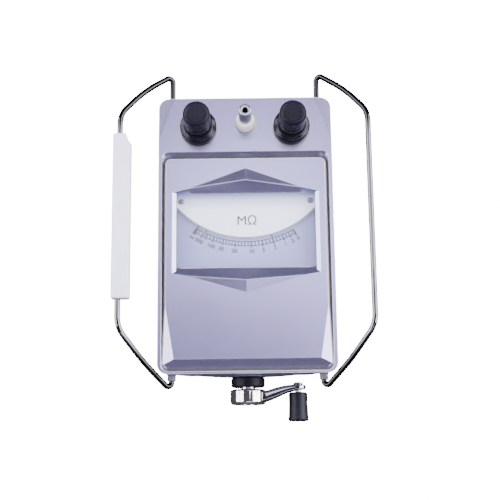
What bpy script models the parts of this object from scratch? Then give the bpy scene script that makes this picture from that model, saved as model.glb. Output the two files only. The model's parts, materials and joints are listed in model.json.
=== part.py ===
"""Hand-cranked insulation resistance tester: a die-cast case with a dial, three terminals,
two wire bails, and a crank that drives a small generator through a gear train.

World axes: X to the right across the dial, Y from the crank towards the terminals, Z up.
Z = 0 is the surface the feet stand on. Lengths are in metres.
"""

from math import asin, atan2, cos, pi, radians, sin, tan

import bmesh
import bpy
from mathutils import Matrix, Vector

MM = 0.001
GAP = 0.3 * MM                       # clearance between pieces that touch or turn

# Case
CASE_CENTRE = (1.75 * MM, 4.55 * MM)   # puts the origin under the middle of the whole object
RIM_Z = 119.0 * MM                   # height of the deck and rim above the feet
RIM_X = 60.0 * MM                    # half width at the rim
RIM_Y = 96.0 * MM                    # half length at the rim
DRAFT = radians(4.0)
CORNER_RADIUS = 7.0 * MM
WALL = 2.6 * MM
FLOOR_Z = 5.2 * MM                   # underside of the case
COVER_UNDERSIDE_Z = RIM_Z - 7.0 * MM  # the cover meets the case here
CASE_TOP_Z = COVER_UNDERSIDE_Z - GAP
POST_X = 43.0 * MM
POST_Y = 78.0 * MM
POST_RADIUS = 5.6 * MM
COVER_POST_RADIUS = 5.2 * MM
BOARD_POST_RADIUS = 3.5 * MM
FOOT_RADIUS = 9.0 * MM
FOOT_BORE = 4.6 * MM                  # way through each foot to its case screw
COUNTERBORE = 3.8 * MM               # deep hole in each post, below the screw's head
SCREW_SEAT_Z = 88.0 * MM
SCREW_RADIUS = 1.7 * MM

# Cover
DECK_EDGE_Y = 56.9 * MM              # near edge of the terminal deck
MOAT_X = 57.3 * MM                   # half width of the sunk tray inside the rim
MOAT_NEAR_Y = -94.2 * MM
MOAT_RADIUS = 4.6 * MM
MOAT_FLOOR_Z = RIM_Z - 3.6 * MM
MOAT_FOOT_X = 55.7 * MM              # the tray's walls slope in to these lines at its floor
MOAT_FOOT_FAR_Y = 52.8 * MM
MOAT_FOOT_NEAR_Y = -94.0 * MM
PANEL_Z = RIM_Z + 1.0 * MM           # top of the raised dial panel
PANEL_X = 54.6 * MM
PANEL_FAR_Y = 51.6 * MM
FACET_START_Y = -50.0 * MM           # where the panel's long corner facets begin
NOSE_X = 48.8 * MM                   # half width of the panel's near end
NOSE_Y = -86.2 * MM
RIDGE_RISE = 3.2 * MM                # height of the dial hood's two peaks above the panel
HOOD_X = 49.2 * MM                   # half width of the hood at the window's corners
HOOD_FAR_Y = 27.8 * MM
HOOD_NEAR_Y = -28.6 * MM
RIDGE_FAR_Y = 35.4 * MM
RIDGE_NEAR_Y = -34.0 * MM
HOOD_TIP_FAR_Y = 44.4 * MM
HOOD_TIP_NEAR_Y = -41.8 * MM
HOOD_TIP_X = 38.0 * MM               # where the outer hood facets fade into the panel
FADE_FAR_Y = 30.6 * MM
FADE_NEAR_Y = -30.6 * MM
PEAK_DEPTH = 1.35                    # how far the peaks' facets run on below the panel's face
WINDOW_X = 47.4 * MM
WINDOW_FAR_Y = 27.4 * MM
WINDOW_NEAR_Y = -24.0 * MM
LEDGE_Z = RIM_Z - 2.8 * MM           # face that the window glass seats against

# Window, dial and meter movement
GLASS_X = 50.0 * MM
GLASS_FAR_Y = 30.5 * MM
GLASS_NEAR_Y = -26.8 * MM
GLASS_THICKNESS = 2.0 * MM
PIVOT = (0.4 * MM, 62.0 * MM)        # pointer spindle, relative to the case centre
DIAL_Z = RIM_Z - 11.0 * MM           # printed face of the dial
POINTER_Z = DIAL_Z + 1.1 * MM
MASK_Z = DIAL_Z + 2.4 * MM
MASK_THICKNESS = 0.6 * MM
MASK_RADIUS = 64.8 * MM
POINTER_REACH = 71.0 * MM
POINTER_REST = radians(-31.0)        # the pointer rests at the infinity end of the scale
DIAL_X = 50.5 * MM
DIAL_NEAR_Y = -28.0 * MM
DIAL_FAR_Y = 45.0 * MM
DIAL_SCREW = (44.5 * MM, 23.5 * MM)

# Terminals
TERMINAL_X = 32.2 * MM
TERMINAL_Y = 73.9 * MM
TERMINAL_TOP_Z = RIM_Z + 31.0 * MM
BASE_RADIUS = 12.6 * MM
BASE_HEIGHT = 8.6 * MM
KNOB_RADIUS = 9.2 * MM
WASHER_RADIUS = 7.6 * MM
WASHER_THICKNESS = 1.0 * MM
STUD_RADIUS = 3.0 * MM
STUD_TOP = 25.0 * MM                 # top of the line and earth studs above the deck
GUARD = (0.3 * MM, 77.3 * MM)
GUARD_TOP_Z = RIM_Z + 26.5 * MM
GUARD_RADIUS = 4.35 * MM
INSULATOR_RADIUS = 7.0 * MM
INSULATOR_HEIGHT = 9.0 * MM
SOCKET_RADIUS = 2.0 * MM
SOCKET_DEPTH = 14.0 * MM

# Crank, gear train and generator. Centres are (x, z) in the plane across the shafts.
CRANK_AXIS = (0.0, 69.0 * MM)
CRANK_RADIUS = 35.2 * MM             # from the crank shaft to the grip's pin
BEARING_RADIUS = 7.4 * MM
SHAFT_RADIUS = 4.9 * MM
JOURNAL_RADIUS = 4.0 * MM             # the crank shaft where it carries the gear and the arm
IDLER_SHAFT = 2.5 * MM
STATOR_RADIUS = 25.0 * MM
COIL_RADIUS = 23.6 * MM
PIN_RADIUS = 2.0 * MM
ROTOR_SHAFT = 2.0 * MM
BOSS_END_Y = -94.8 * MM
FLARE_END_Y = -93.9 * MM             # the shallow cone that spreads from the boss into the wall
FLARE_TOP_RADIUS = 16.0 * MM
FLARE_RADIUS = 42.0 * MM
COLLAR_END_Y = -101.6 * MM
HUB_NEAR_Y = -113.8 * MM
HUB_FAR_Y = -103.2 * MM
HUB_RADIUS = 12.6 * MM
GRIP_START_Y = -105.4 * MM
GRIP_END_Y = -125.6 * MM
FIRST_MODULE = 1.0 * MM
SECOND_MODULE = 0.8 * MM
CRANK_TEETH = 50
IDLER_PINION_TEETH = 10
IDLER_TEETH = 45
ROTOR_PINION_TEETH = 10
MESH_SLACK = 0.25 * MM               # extra centre distance, so that the teeth run free
IDLER_SIDE = radians(217.0)          # direction from the crank shaft to the idler shaft
ROTOR_SIDE = radians(-28.0)          # direction from the idler shaft to the rotor shaft
FIRST_STAGE = (-79.0 * MM, -73.0 * MM)
SECOND_STAGE = (-67.0 * MM, -62.0 * MM)


def step_from(axis, direction, distance):
    return (axis[0] + distance * cos(direction), axis[1] + distance * sin(direction))


FIRST_CENTRES = FIRST_MODULE * (CRANK_TEETH + IDLER_PINION_TEETH) / 2 + MESH_SLACK
SECOND_CENTRES = SECOND_MODULE * (IDLER_TEETH + ROTOR_PINION_TEETH) / 2 + MESH_SLACK
IDLER_AXIS = step_from(CRANK_AXIS, IDLER_SIDE, FIRST_CENTRES)
ROTOR_AXIS = step_from(IDLER_AXIS, ROTOR_SIDE, SECOND_CENTRES)

# Circuit board: the components are (x, y) places on it
BOARD_X = 40.0 * MM
BOARD_Y = 34.0 * MM
BOARD_MIDDLE_Y = 36.0 * MM
BOARD_Z = 28.0 * MM
BOARD_THICKNESS = 1.6 * MM
BOARD_POST_X = 34.0 * MM
BOARD_POST_Y = 28.0 * MM
CAPACITORS = [(-14.0 * MM, 24.0 * MM), (14.0 * MM, 24.0 * MM)]

# Bails
BAIL_PIVOT_X = 51.1 * MM
BAIL_PIVOT_Z = RIM_Z - 13.0 * MM
BAIL_REACH = 43.0 * MM               # from the pins' axis to the middle of the hand rail
BAIL_WIRE = 2.0 * MM                 # wire radius
LEFT_LEAN = radians(51.6)            # lean outwards from upright
RIGHT_LEAN = radians(49.1)
BAIL_FAR_Y = 118.2 * MM              # corners of the bail's centre line, before rounding
BAIL_NEAR_Y = -106.5 * MM
RAIL_FAR_Y = 80.0 * MM
RAIL_NEAR_Y = -66.0 * MM
BAIL_BENDS = (3.0 * MM, 18.0 * MM, 25.0 * MM, 3.0 * MM)   # radii, from the near end to the far end
BUSH_RADIUS = 3.4 * MM
BUSH_NECK = 2.9 * MM                 # radius of the bush's outer end, beyond the case wall
BUSH_REACH = 4.4 * MM
GRIP_FAR_Y = 65.3 * MM
GRIP_NEAR_Y = -47.6 * MM
PIN_END_Y = 88.0 * MM

COLLECTION = "insulation_resistance_tester"

# Finishes: colour, roughness, metallic
PAINTED = ((0.52, 0.50, 0.66, 1.0), 0.35, 0.6)
CAST = ((0.42, 0.42, 0.44, 1.0), 0.45, 1.0)
CHROMED = ((0.78, 0.78, 0.80, 1.0), 0.06, 1.0)
PLATED = ((0.62, 0.62, 0.62, 1.0), 0.25, 1.0)
STEELY = ((0.45, 0.46, 0.48, 1.0), 0.30, 1.0)
BRASSY = ((0.72, 0.55, 0.24, 1.0), 0.30, 1.0)
SOFT_IRON = ((0.16, 0.16, 0.17, 1.0), 0.50, 1.0)
FERRITE = ((0.05, 0.05, 0.055, 1.0), 0.60, 0.0)
WOUND = ((0.55, 0.20, 0.09, 1.0), 0.35, 0.8)
GLOSS_BLACK = ((0.012, 0.012, 0.020, 1.0), 0.18, 0.0)
RUBBER = ((0.02, 0.02, 0.02, 1.0), 0.80, 0.0)
NYLON = ((0.75, 0.75, 0.78, 1.0), 0.40, 0.0)
WHITE_PLASTIC = ((0.80, 0.80, 0.84, 1.0), 0.35, 0.0)
PORCELAIN = ((0.85, 0.85, 0.84, 1.0), 0.20, 0.0)
GLAZED = ((0.90, 0.93, 0.98, 1.0), 0.03, 0.0)
PRINTED = ((0.50, 0.55, 0.78, 1.0), 0.50, 0.0)
MASKED = ((0.85, 0.87, 0.92, 1.0), 0.40, 0.0)
FIBREGLASS = ((0.10, 0.28, 0.12, 1.0), 0.45, 0.0)
SLEEVED = ((0.08, 0.10, 0.30, 1.0), 0.35, 0.0)

CORNER_NAMES = ("left_near", "left_far", "right_near", "right_far")
ALONG_Y = (radians(-90.0), 0.0, 0.0)               # local Z to world +Y, local Y to world -Z
SIDE_ON = (radians(90.0), 0.0, radians(90.0))      # local X to world +Y, local Y to world +Z


# ---------------------------------------------------------------- set-up and helpers

def clear_scene():
    for item in list(bpy.context.scene.objects):
        bpy.data.objects.remove(item, do_unlink=True)


def new_collection(name):
    group = bpy.data.collections.new(name)
    bpy.context.scene.collection.children.link(group)
    return group


def new_empty(name, location, parent=None):
    empty = bpy.data.objects.new(name, None)
    empty.location = location
    empty.empty_display_size = 0.01
    empty.parent = parent
    parts.objects.link(empty)
    return empty


def new_material(name, colour, roughness, metallic):
    made = bpy.data.materials.new(name)
    made.use_nodes = True
    shader = made.node_tree.nodes["Principled BSDF"]
    shader.inputs["Base Color"].default_value = colour
    shader.inputs["Roughness"].default_value = roughness
    shader.inputs["Metallic"].default_value = metallic
    return made


def piece(name, mesh, parent, finish, location=(0.0, 0.0, 0.0), rotation=(0.0, 0.0, 0.0)):
    """Link a named part; finish is (colour, roughness, metallic)."""
    item = bpy.data.objects.new(name, mesh)
    item.location = location
    item.rotation_euler = rotation
    item.parent = parent
    mesh.materials.append(new_material(name, *finish))
    parts.objects.link(item)
    mesh.shade_smooth()
    mesh.set_sharp_from_angle(angle=radians(30))
    return item


def tool(mesh, parent, location=(0.0, 0.0, 0.0), rotation=(0.0, 0.0, 0.0)):
    """An unseen solid that cuts or joins a part."""
    item = bpy.data.objects.new("tool", mesh)
    item.location = location
    item.rotation_euler = rotation
    item.parent = parent
    item.hide_render = True
    item.display_type = "WIRE"
    tools.objects.link(item)
    return item


def combine(target, other, operation):
    change = target.modifiers.new(operation.lower(), "BOOLEAN")
    change.operation = operation
    change.solver = "EXACT"
    change.object = other


def cut(target, mesh, location=(0.0, 0.0, 0.0), rotation=(0.0, 0.0, 0.0), parent=None):
    combine(target, tool(mesh, parent or tester, location, rotation), "DIFFERENCE")


def join(target, mesh, location=(0.0, 0.0, 0.0), rotation=(0.0, 0.0, 0.0), parent=None):
    combine(target, tool(mesh, parent or tester, location, rotation), "UNION")


def box_mesh(low, high, bevel=0.0, segments=1):
    """A box between two corners, with optional bevelled upright edges."""
    bm = bmesh.new()
    bmesh.ops.create_cube(bm, size=1.0)
    size = [high[i] - low[i] for i in range(3)]
    middle = [(high[i] + low[i]) / 2 for i in range(3)]
    bmesh.ops.scale(bm, vec=size, verts=bm.verts)
    bmesh.ops.translate(bm, vec=middle, verts=bm.verts)
    if bevel:
        upright = [e for e in bm.edges if abs(e.verts[0].co.z - e.verts[1].co.z) > 1e-9]
        bmesh.ops.bevel(bm, geom=upright, offset=bevel, segments=segments, profile=0.5, affect="EDGES")
    return mesh_of(bm)


def rod_mesh(radius, start, end, segments=24, end_radius=None):
    """A cylinder or cone along local Z from start to end."""
    bm = bmesh.new()
    top = radius if end_radius is None else end_radius
    bmesh.ops.create_cone(bm, cap_ends=True, segments=segments, radius1=radius, radius2=top,
                          depth=end - start)
    bmesh.ops.translate(bm, vec=(0.0, 0.0, (start + end) / 2), verts=bm.verts)
    return mesh_of(bm)


def mesh_of(bm):
    mesh = bpy.data.meshes.new("mesh")
    bm.to_mesh(mesh)
    bm.free()
    return mesh


def turned_mesh(profile, closed=False):
    """The half section that a Screw modifier turns: (radius, height) pairs, top to bottom."""
    bm = bmesh.new()
    points = [bm.verts.new((r, 0.0, z)) for r, z in profile]
    for first, second in zip(points, points[1:]):
        bm.edges.new((first, second))
    if closed:
        bm.edges.new((points[-1], points[0]))
    return mesh_of(bm)


def turn(item, steps):
    lathe = item.modifiers.new("turn", "SCREW")
    lathe.steps = steps
    lathe.render_steps = steps
    lathe.use_merge_vertices = True
    lathe.merge_threshold = 0.00001
    lathe.use_smooth_shade = True
    return item


def outline_mesh(outlines, low, high):
    """A flat plate: closed outlines of (x, y) points, extruded in Z from low to high."""
    curve = bpy.data.curves.new("outline", "CURVE")
    curve.dimensions = "2D"
    curve.fill_mode = "BOTH"
    curve.extrude = (high - low) / 2
    for outline in outlines:
        spline = curve.splines.new("POLY")
        spline.points.add(len(outline) - 1)
        for point, (x, y) in zip(spline.points, outline):
            point.co = (x, y, 0.0, 1.0)
        spline.use_cyclic_u = True
    return mesh_from_curve(curve, Matrix.Translation((0.0, 0.0, (low + high) / 2)))


def tube_mesh(path, radius, resolution=2):
    """A round bar along a list of points."""
    curve = bpy.data.curves.new("path", "CURVE")
    curve.dimensions = "3D"
    curve.bevel_depth = radius
    curve.bevel_resolution = resolution
    curve.use_fill_caps = True
    spline = curve.splines.new("POLY")
    spline.points.add(len(path) - 1)
    for point, place in zip(spline.points, path):
        point.co = (*place, 1.0)
    return mesh_from_curve(curve, Matrix.Identity(4))


def mesh_from_curve(curve, move):
    holder = bpy.data.objects.new("curve", curve)
    bpy.context.scene.collection.objects.link(holder)
    bpy.context.view_layer.update()
    evaluated = holder.evaluated_get(bpy.context.evaluated_depsgraph_get())
    mesh = bpy.data.meshes.new_from_object(evaluated)
    bpy.data.objects.remove(holder, do_unlink=True)
    bm = bmesh.new()
    bm.from_mesh(mesh)
    bmesh.ops.transform(bm, matrix=move, verts=bm.verts)
    bmesh.ops.remove_doubles(bm, verts=bm.verts, dist=0.000001)
    bmesh.ops.recalc_face_normals(bm, faces=bm.faces)
    bm.to_mesh(mesh)
    bm.free()
    return mesh


def circle(radius, segments, centre=(0.0, 0.0)):
    steps = [2 * pi * i / segments for i in range(segments)]
    return [(centre[0] + radius * cos(a), centre[1] + radius * sin(a)) for a in steps]


def arc(radius, start, end, steps, centre=(0.0, 0.0)):
    angles = [start + (end - start) * i / steps for i in range(steps + 1)]
    return [(centre[0] + radius * cos(a), centre[1] + radius * sin(a)) for a in angles]


def loft_mesh(low_ring, high_ring):
    """A solid between two rings with the same number of corners, anticlockwise from above."""
    bm = bmesh.new()
    low = [bm.verts.new(p) for p in low_ring]
    high = [bm.verts.new(p) for p in high_ring]
    count = len(low)
    for i in range(count):
        j = (i + 1) % count
        bm.faces.new((low[i], low[j], high[j], high[i]))
    bm.faces.new(list(reversed(low)))
    bm.faces.new(high)
    bmesh.ops.triangulate(bm, faces=bm.faces)
    bmesh.ops.recalc_face_normals(bm, faces=bm.faces)
    return mesh_of(bm)


# ---------------------------------------------------------------- case and cover

def half_width(z):
    return RIM_X - (RIM_Z - z) * tan(DRAFT)


def half_length(z):
    return RIM_Y - (RIM_Z - z) * tan(DRAFT)


def drafted_block(low_z, high_z):
    """The case's outer form between two heights, with rounded upright corners."""
    bm = bmesh.new()
    bmesh.ops.create_cube(bm, size=2.0)
    for vert in bm.verts:
        z = high_z if vert.co.z > 0 else low_z
        vert.co = Vector((vert.co.x * half_width(z), vert.co.y * half_length(z), z))
    upright = [e for e in bm.edges if abs(e.verts[0].co.z - e.verts[1].co.z) > (high_z - low_z) / 2]
    bmesh.ops.bevel(bm, geom=upright, offset=CORNER_RADIUS, segments=4, profile=0.5, affect="EDGES")
    return bm


def soften_edges_at(bm, z, width):
    ring = [e for e in bm.edges if all(abs(v.co.z - z) < 1e-6 for v in e.verts)]
    bmesh.ops.bevel(bm, geom=ring, offset=width, segments=2, profile=0.5, affect="EDGES")


def make_lower_case():
    bm = drafted_block(FLOOR_Z, CASE_TOP_Z)
    soften_edges_at(bm, FLOOR_Z, 1.5 * MM)
    lid = [f for f in bm.faces if f.calc_center_median().z > CASE_TOP_Z - 1e-6]
    bmesh.ops.delete(bm, geom=lid, context="FACES_ONLY")
    case = piece("lower_case", mesh_of(bm), tester, PAINTED)
    shell = case.modifiers.new("wall", "SOLIDIFY")
    shell.thickness = WALL
    shell.offset = -1.0
    shell.use_even_offset = True
    floor = FLOOR_Z + WALL - 1.0 * MM
    for x, y in corners_of(POST_X, POST_Y):
        place = (x, y, 0.0)
        join(case, rod_mesh(POST_RADIUS, floor, CASE_TOP_Z, 14), place)
        cut(case, rod_mesh(COUNTERBORE, 0.0, SCREW_SEAT_Z, 12), place)
        cut(case, rod_mesh(2.1 * MM, SCREW_SEAT_Z - 1.0 * MM, RIM_Z, 10), place)
    for x, y in corners_of(BOARD_POST_X, BOARD_POST_Y):
        join(case, rod_mesh(BOARD_POST_RADIUS, floor, BOARD_Z - GAP, 8), (x, y + BOARD_MIDDLE_Y, 0.0))
    for x, y in corners_of(BAIL_PIVOT_X, half_length(BAIL_PIVOT_Z)):
        seat_y = y - 3.2 * MM if y > 0 else y + 3.2 * MM
        low = (x - 5.2 * MM, seat_y - 2.6 * MM, BAIL_PIVOT_Z - 6.0 * MM)
        high = (x + 5.2 * MM, seat_y + 2.6 * MM, BAIL_PIVOT_Z + 4.6 * MM)
        join(case, box_mesh(low, high))
        cut(case, rod_mesh(BUSH_RADIUS + GAP, -12.0 * MM, 12.0 * MM, 12), (x, y, BAIL_PIVOT_Z), ALONG_Y)
    axis = (CRANK_AXIS[0], 0.0, CRANK_AXIS[1])
    wall_y = -half_length(CRANK_AXIS[1])
    join(case, rod_mesh(12.0 * MM, BOSS_END_Y, -85.0 * MM, 32), axis, ALONG_Y)
    join(case, rod_mesh(12.2 * MM, BOSS_END_Y + 0.4 * MM, wall_y + 1.6 * MM, 32, 19.0 * MM), axis, ALONG_Y)
    flare = rod_mesh(FLARE_TOP_RADIUS, FLARE_END_Y, wall_y + 0.9 * MM, 40, FLARE_RADIUS)
    join(case, flare, axis, ALONG_Y)
    cut(case, rod_mesh(BEARING_RADIUS + GAP, -100.0 * MM, -80.0 * MM, 20), axis, ALONG_Y)


def corners_of(x, y):
    return [(sx * x, sy * y) for sx in (-1, 1) for sy in (-1, 1)]


def mirrored(half):
    """A whole ring of corners from its right-hand half, given from the near end to the far end."""
    return half + [(-x, y, z) for x, y, z in reversed(half) if x > 0]


def rounded_ring(x, near_y, far_y, radius, z):
    """A rounded rectangle of corners at height z, anticlockwise from above."""
    turns = ((x, near_y, -1, 1), (x, far_y, -1, -1), (-x, far_y, 1, -1), (-x, near_y, 1, 1))
    ring = []
    for i, (corner_x, corner_y, sx, sy) in enumerate(turns):
        start = (i - 1) * pi / 2
        centre = (corner_x + sx * radius, corner_y + sy * radius)
        ring += [(px, py, z) for px, py in arc(radius, start, start + pi / 2, 3, centre)]
    return ring


def tray_mesh():
    """The cut for the sunk tray: its walls slope in towards the panel's foot."""
    above = 2.0 * MM
    share = 1.0 + above / (RIM_Z - MOAT_FLOOR_Z)
    low = rounded_ring(MOAT_FOOT_X, MOAT_FOOT_NEAR_Y, MOAT_FOOT_FAR_Y, MOAT_RADIUS, MOAT_FLOOR_Z)
    rim = rounded_ring(MOAT_X, MOAT_NEAR_Y, DECK_EDGE_Y, MOAT_RADIUS, RIM_Z)
    high = [Vector(a) + (Vector(b) - Vector(a)) * share for a, b in zip(low, rim)]
    return loft_mesh(low, high)


def panel_mesh():
    """The raised dial panel: flat top, long corner facets, and a slope at the near end."""
    low_z = MOAT_FLOOR_Z - 1.0 * MM
    flank = PANEL_X + 0.5 * MM
    high = mirrored([
        (NOSE_X - 4.0 * MM, NOSE_Y, PANEL_Z),
        (NOSE_X, NOSE_Y, PANEL_Z),
        (PANEL_X, FACET_START_Y, PANEL_Z),
        (PANEL_X, PANEL_FAR_Y - 2.0 * MM, PANEL_Z),
        (PANEL_X - 2.0 * MM, PANEL_FAR_Y, PANEL_Z),
    ])
    low = mirrored([
        (MOAT_X - 4.0 * MM, MOAT_NEAR_Y - 0.6 * MM, low_z),
        (MOAT_X + 0.6 * MM, MOAT_NEAR_Y + 3.6 * MM, low_z),
        (flank, FACET_START_Y, low_z),
        (flank, PANEL_FAR_Y - 2.0 * MM, low_z),
        (flank - 2.0 * MM, PANEL_FAR_Y + 0.5 * MM, low_z),
    ])
    return loft_mesh(low, high)


def peak_mesh(tip_y, ridge_y, fade_y):
    """One peak of the dial hood, sunk into the panel: its inner side is cut with the window."""
    bm = bmesh.new()
    top = Vector((0.0, ridge_y, PANEL_Z + RIDGE_RISE))
    bm.verts.new(top)
    for x, y in ((-HOOD_TIP_X, fade_y), (HOOD_TIP_X, fade_y), (0.0, tip_y)):
        bm.verts.new(top + (Vector((x, y, PANEL_Z)) - top) * PEAK_DEPTH)
    bmesh.ops.convex_hull(bm, input=bm.verts)
    bmesh.ops.recalc_face_normals(bm, faces=bm.faces)
    return mesh_of(bm)


def window_mesh():
    """The funnel-shaped cut from the hood's ridges down to the window."""
    top = PANEL_Z + RIDGE_RISE
    bottom = LEDGE_Z - 0.6 * MM
    pairs = [                                    # a point at the glass, and one on the hood's rim
        ((0.0, WINDOW_NEAR_Y), (0.0, RIDGE_NEAR_Y, top)),
        ((HOOD_TIP_X, WINDOW_NEAR_Y), (HOOD_TIP_X, FADE_NEAR_Y, PANEL_Z)),
        ((WINDOW_X, WINDOW_NEAR_Y), (HOOD_X, HOOD_NEAR_Y, PANEL_Z)),
        ((WINDOW_X, WINDOW_FAR_Y), (HOOD_X, HOOD_FAR_Y, PANEL_Z)),
        ((HOOD_TIP_X, WINDOW_FAR_Y), (HOOD_TIP_X, FADE_FAR_Y, PANEL_Z)),
        ((0.0, WINDOW_FAR_Y), (0.0, RIDGE_FAR_Y, top)),
    ]
    low = []
    high = []
    for (x, y), (rim_x, rim_y, rim_z) in pairs:
        reach = (top + 1.0 * MM - bottom) / (rim_z - bottom)
        low.append((x, y, bottom))
        high.append((x + (rim_x - x) * reach, y + (rim_y - y) * reach, top + 1.0 * MM))
    return loft_mesh(mirrored(low), mirrored(high))


def make_top_cover():
    bm = drafted_block(COVER_UNDERSIDE_Z, RIM_Z)
    soften_edges_at(bm, RIM_Z, 1.3 * MM)
    cover = piece("top_cover", mesh_of(bm), tester, PAINTED)
    cut(cover, tray_mesh())
    join(cover, panel_mesh())
    join(cover, peak_mesh(HOOD_TIP_FAR_Y, RIDGE_FAR_Y, FADE_FAR_Y - 0.8 * MM))
    join(cover, peak_mesh(HOOD_TIP_NEAR_Y, RIDGE_NEAR_Y, FADE_NEAR_Y + 0.8 * MM))
    cut(cover, window_mesh())
    below = COVER_UNDERSIDE_Z - 3.0 * MM
    recess_low = (-GLASS_X - GAP, GLASS_NEAR_Y - GAP, below)
    recess_high = (GLASS_X + GAP, GLASS_FAR_Y + GAP, LEDGE_Z)
    cut(cover, box_mesh(recess_low, recess_high, 2.0 * MM, 2))
    pocket_z = PANEL_Z - WALL
    cut(cover, box_mesh((-46.0 * MM, -80.0 * MM, below), (46.0 * MM, -44.0 * MM, pocket_z)))
    cut(cover, box_mesh((-46.0 * MM, 35.0 * MM, below), (46.0 * MM, 47.5 * MM, pocket_z)))
    cut(cover, box_mesh((-54.0 * MM, 60.5 * MM, below), (54.0 * MM, 90.0 * MM, RIM_Z - WALL)))
    for x, y in corners_of(POST_X, POST_Y):
        join(cover, rod_mesh(COVER_POST_RADIUS, COVER_UNDERSIDE_Z, RIM_Z - 1.0 * MM, 14), (x, y, 0.0))
        cut(cover, rod_mesh(SCREW_RADIUS + GAP, below, RIM_Z - 1.8 * MM, 12), (x, y, 0.0))
    for x, y in ((-TERMINAL_X, TERMINAL_Y), (TERMINAL_X, TERMINAL_Y), GUARD):
        cut(cover, rod_mesh(STUD_RADIUS + GAP, below, RIM_Z + 2.0 * MM, 16), (x, y, 0.0))


def make_feet_and_screws():
    for (x, y), name in zip(corners_of(POST_X, POST_Y), CORNER_NAMES):
        place = (x, y, 0.0)
        foot = turned_mesh([
            (FOOT_RADIUS - 1.2 * MM, FLOOR_Z - GAP),
            (FOOT_RADIUS, FLOOR_Z - 1.4 * MM),
            (FOOT_RADIUS - 0.8 * MM, 0.0),
            (FOOT_BORE, 0.0),
            (FOOT_BORE, FLOOR_Z - GAP),
        ], closed=True)
        turn(piece(name + "_foot", foot, tester, RUBBER, place), 16)
        head = SCREW_SEAT_Z - GAP
        screw = turned_mesh([
            (0.0, RIM_Z - 2.4 * MM),
            (SCREW_RADIUS, RIM_Z - 2.4 * MM),
            (SCREW_RADIUS, head),
            (3.3 * MM, head),
            (3.3 * MM, head - 2.4 * MM),
            (0.0, head - 2.4 * MM),
        ])
        turn(piece(name + "_case_screw", screw, tester, PLATED, place), 8)


def make_bail_bushes():
    for (x, y), name in zip(corners_of(BAIL_PIVOT_X, half_length(BAIL_PIVOT_Z)), CORNER_NAMES):
        outward = 1.0 if y > 0 else -1.0
        bush = turned_mesh([
            (BUSH_NECK - 0.3 * MM, BUSH_REACH),
            (BUSH_NECK, BUSH_REACH - 0.4 * MM),
            (BUSH_NECK, 0.8 * MM),
            (BUSH_RADIUS, 0.3 * MM),
            (BUSH_RADIUS, -5.0 * MM),
            (BAIL_WIRE + GAP, -5.0 * MM),
            (BAIL_WIRE + GAP, BUSH_REACH),
        ], closed=True)
        turned_to = (radians(-90.0 * outward), 0.0, 0.0)
        turn(piece(name + "_bail_bush", bush, tester, NYLON, (x, y, BAIL_PIVOT_Z), turned_to), 12)


# ---------------------------------------------------------------- window, dial and movement

def make_window_and_dial():
    glass_top = LEDGE_Z - GAP
    low = (-GLASS_X, GLASS_NEAR_Y, glass_top - GLASS_THICKNESS)
    high = (GLASS_X, GLASS_FAR_Y, glass_top)
    piece("window_glass", box_mesh(low, high, 1.8 * MM, 2), tester, GLAZED)

    screw_holes = [circle(1.5 * MM, 10, (sx * DIAL_SCREW[0], DIAL_SCREW[1])) for sx in (-1, 1)]
    plate = [(-DIAL_X, DIAL_NEAR_Y), (DIAL_X, DIAL_NEAR_Y), (DIAL_X, DIAL_FAR_Y), (-DIAL_X, DIAL_FAR_Y)]
    piece("dial_plate", outline_mesh([plate] + screw_holes, DIAL_Z - 1.0 * MM, DIAL_Z), tester, PRINTED)

    spread = asin(DIAL_X / MASK_RADIUS)
    edge = arc(MASK_RADIUS, -pi / 2 - spread, -pi / 2 + spread, 28, PIVOT)
    edge = [(min(DIAL_X, max(-DIAL_X, x)), y) for x, y in edge]
    mask = edge + [(DIAL_X, DIAL_FAR_Y), (-DIAL_X, DIAL_FAR_Y)]
    piece("dial_mask", outline_mesh([mask] + screw_holes, MASK_Z, MASK_Z + MASK_THICKNESS), tester, MASKED)

    for side, name in ((-1, "left"), (1, "right")):
        head_z = MASK_Z + MASK_THICKNESS + GAP
        screw = turned_mesh([
            (0.0, head_z + 0.7 * MM),
            (1.7 * MM, head_z + 0.7 * MM),
            (2.1 * MM, head_z + 0.3 * MM),
            (2.1 * MM, head_z),
            (1.2 * MM, head_z),
            (1.2 * MM, DIAL_Z - 2.5 * MM),
            (0.0, DIAL_Z - 2.5 * MM),
        ])
        place = (side * DIAL_SCREW[0], DIAL_SCREW[1], 0.0)
        turn(piece("dial_screw_" + name, screw, tester, PLATED, place), 10)


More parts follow.
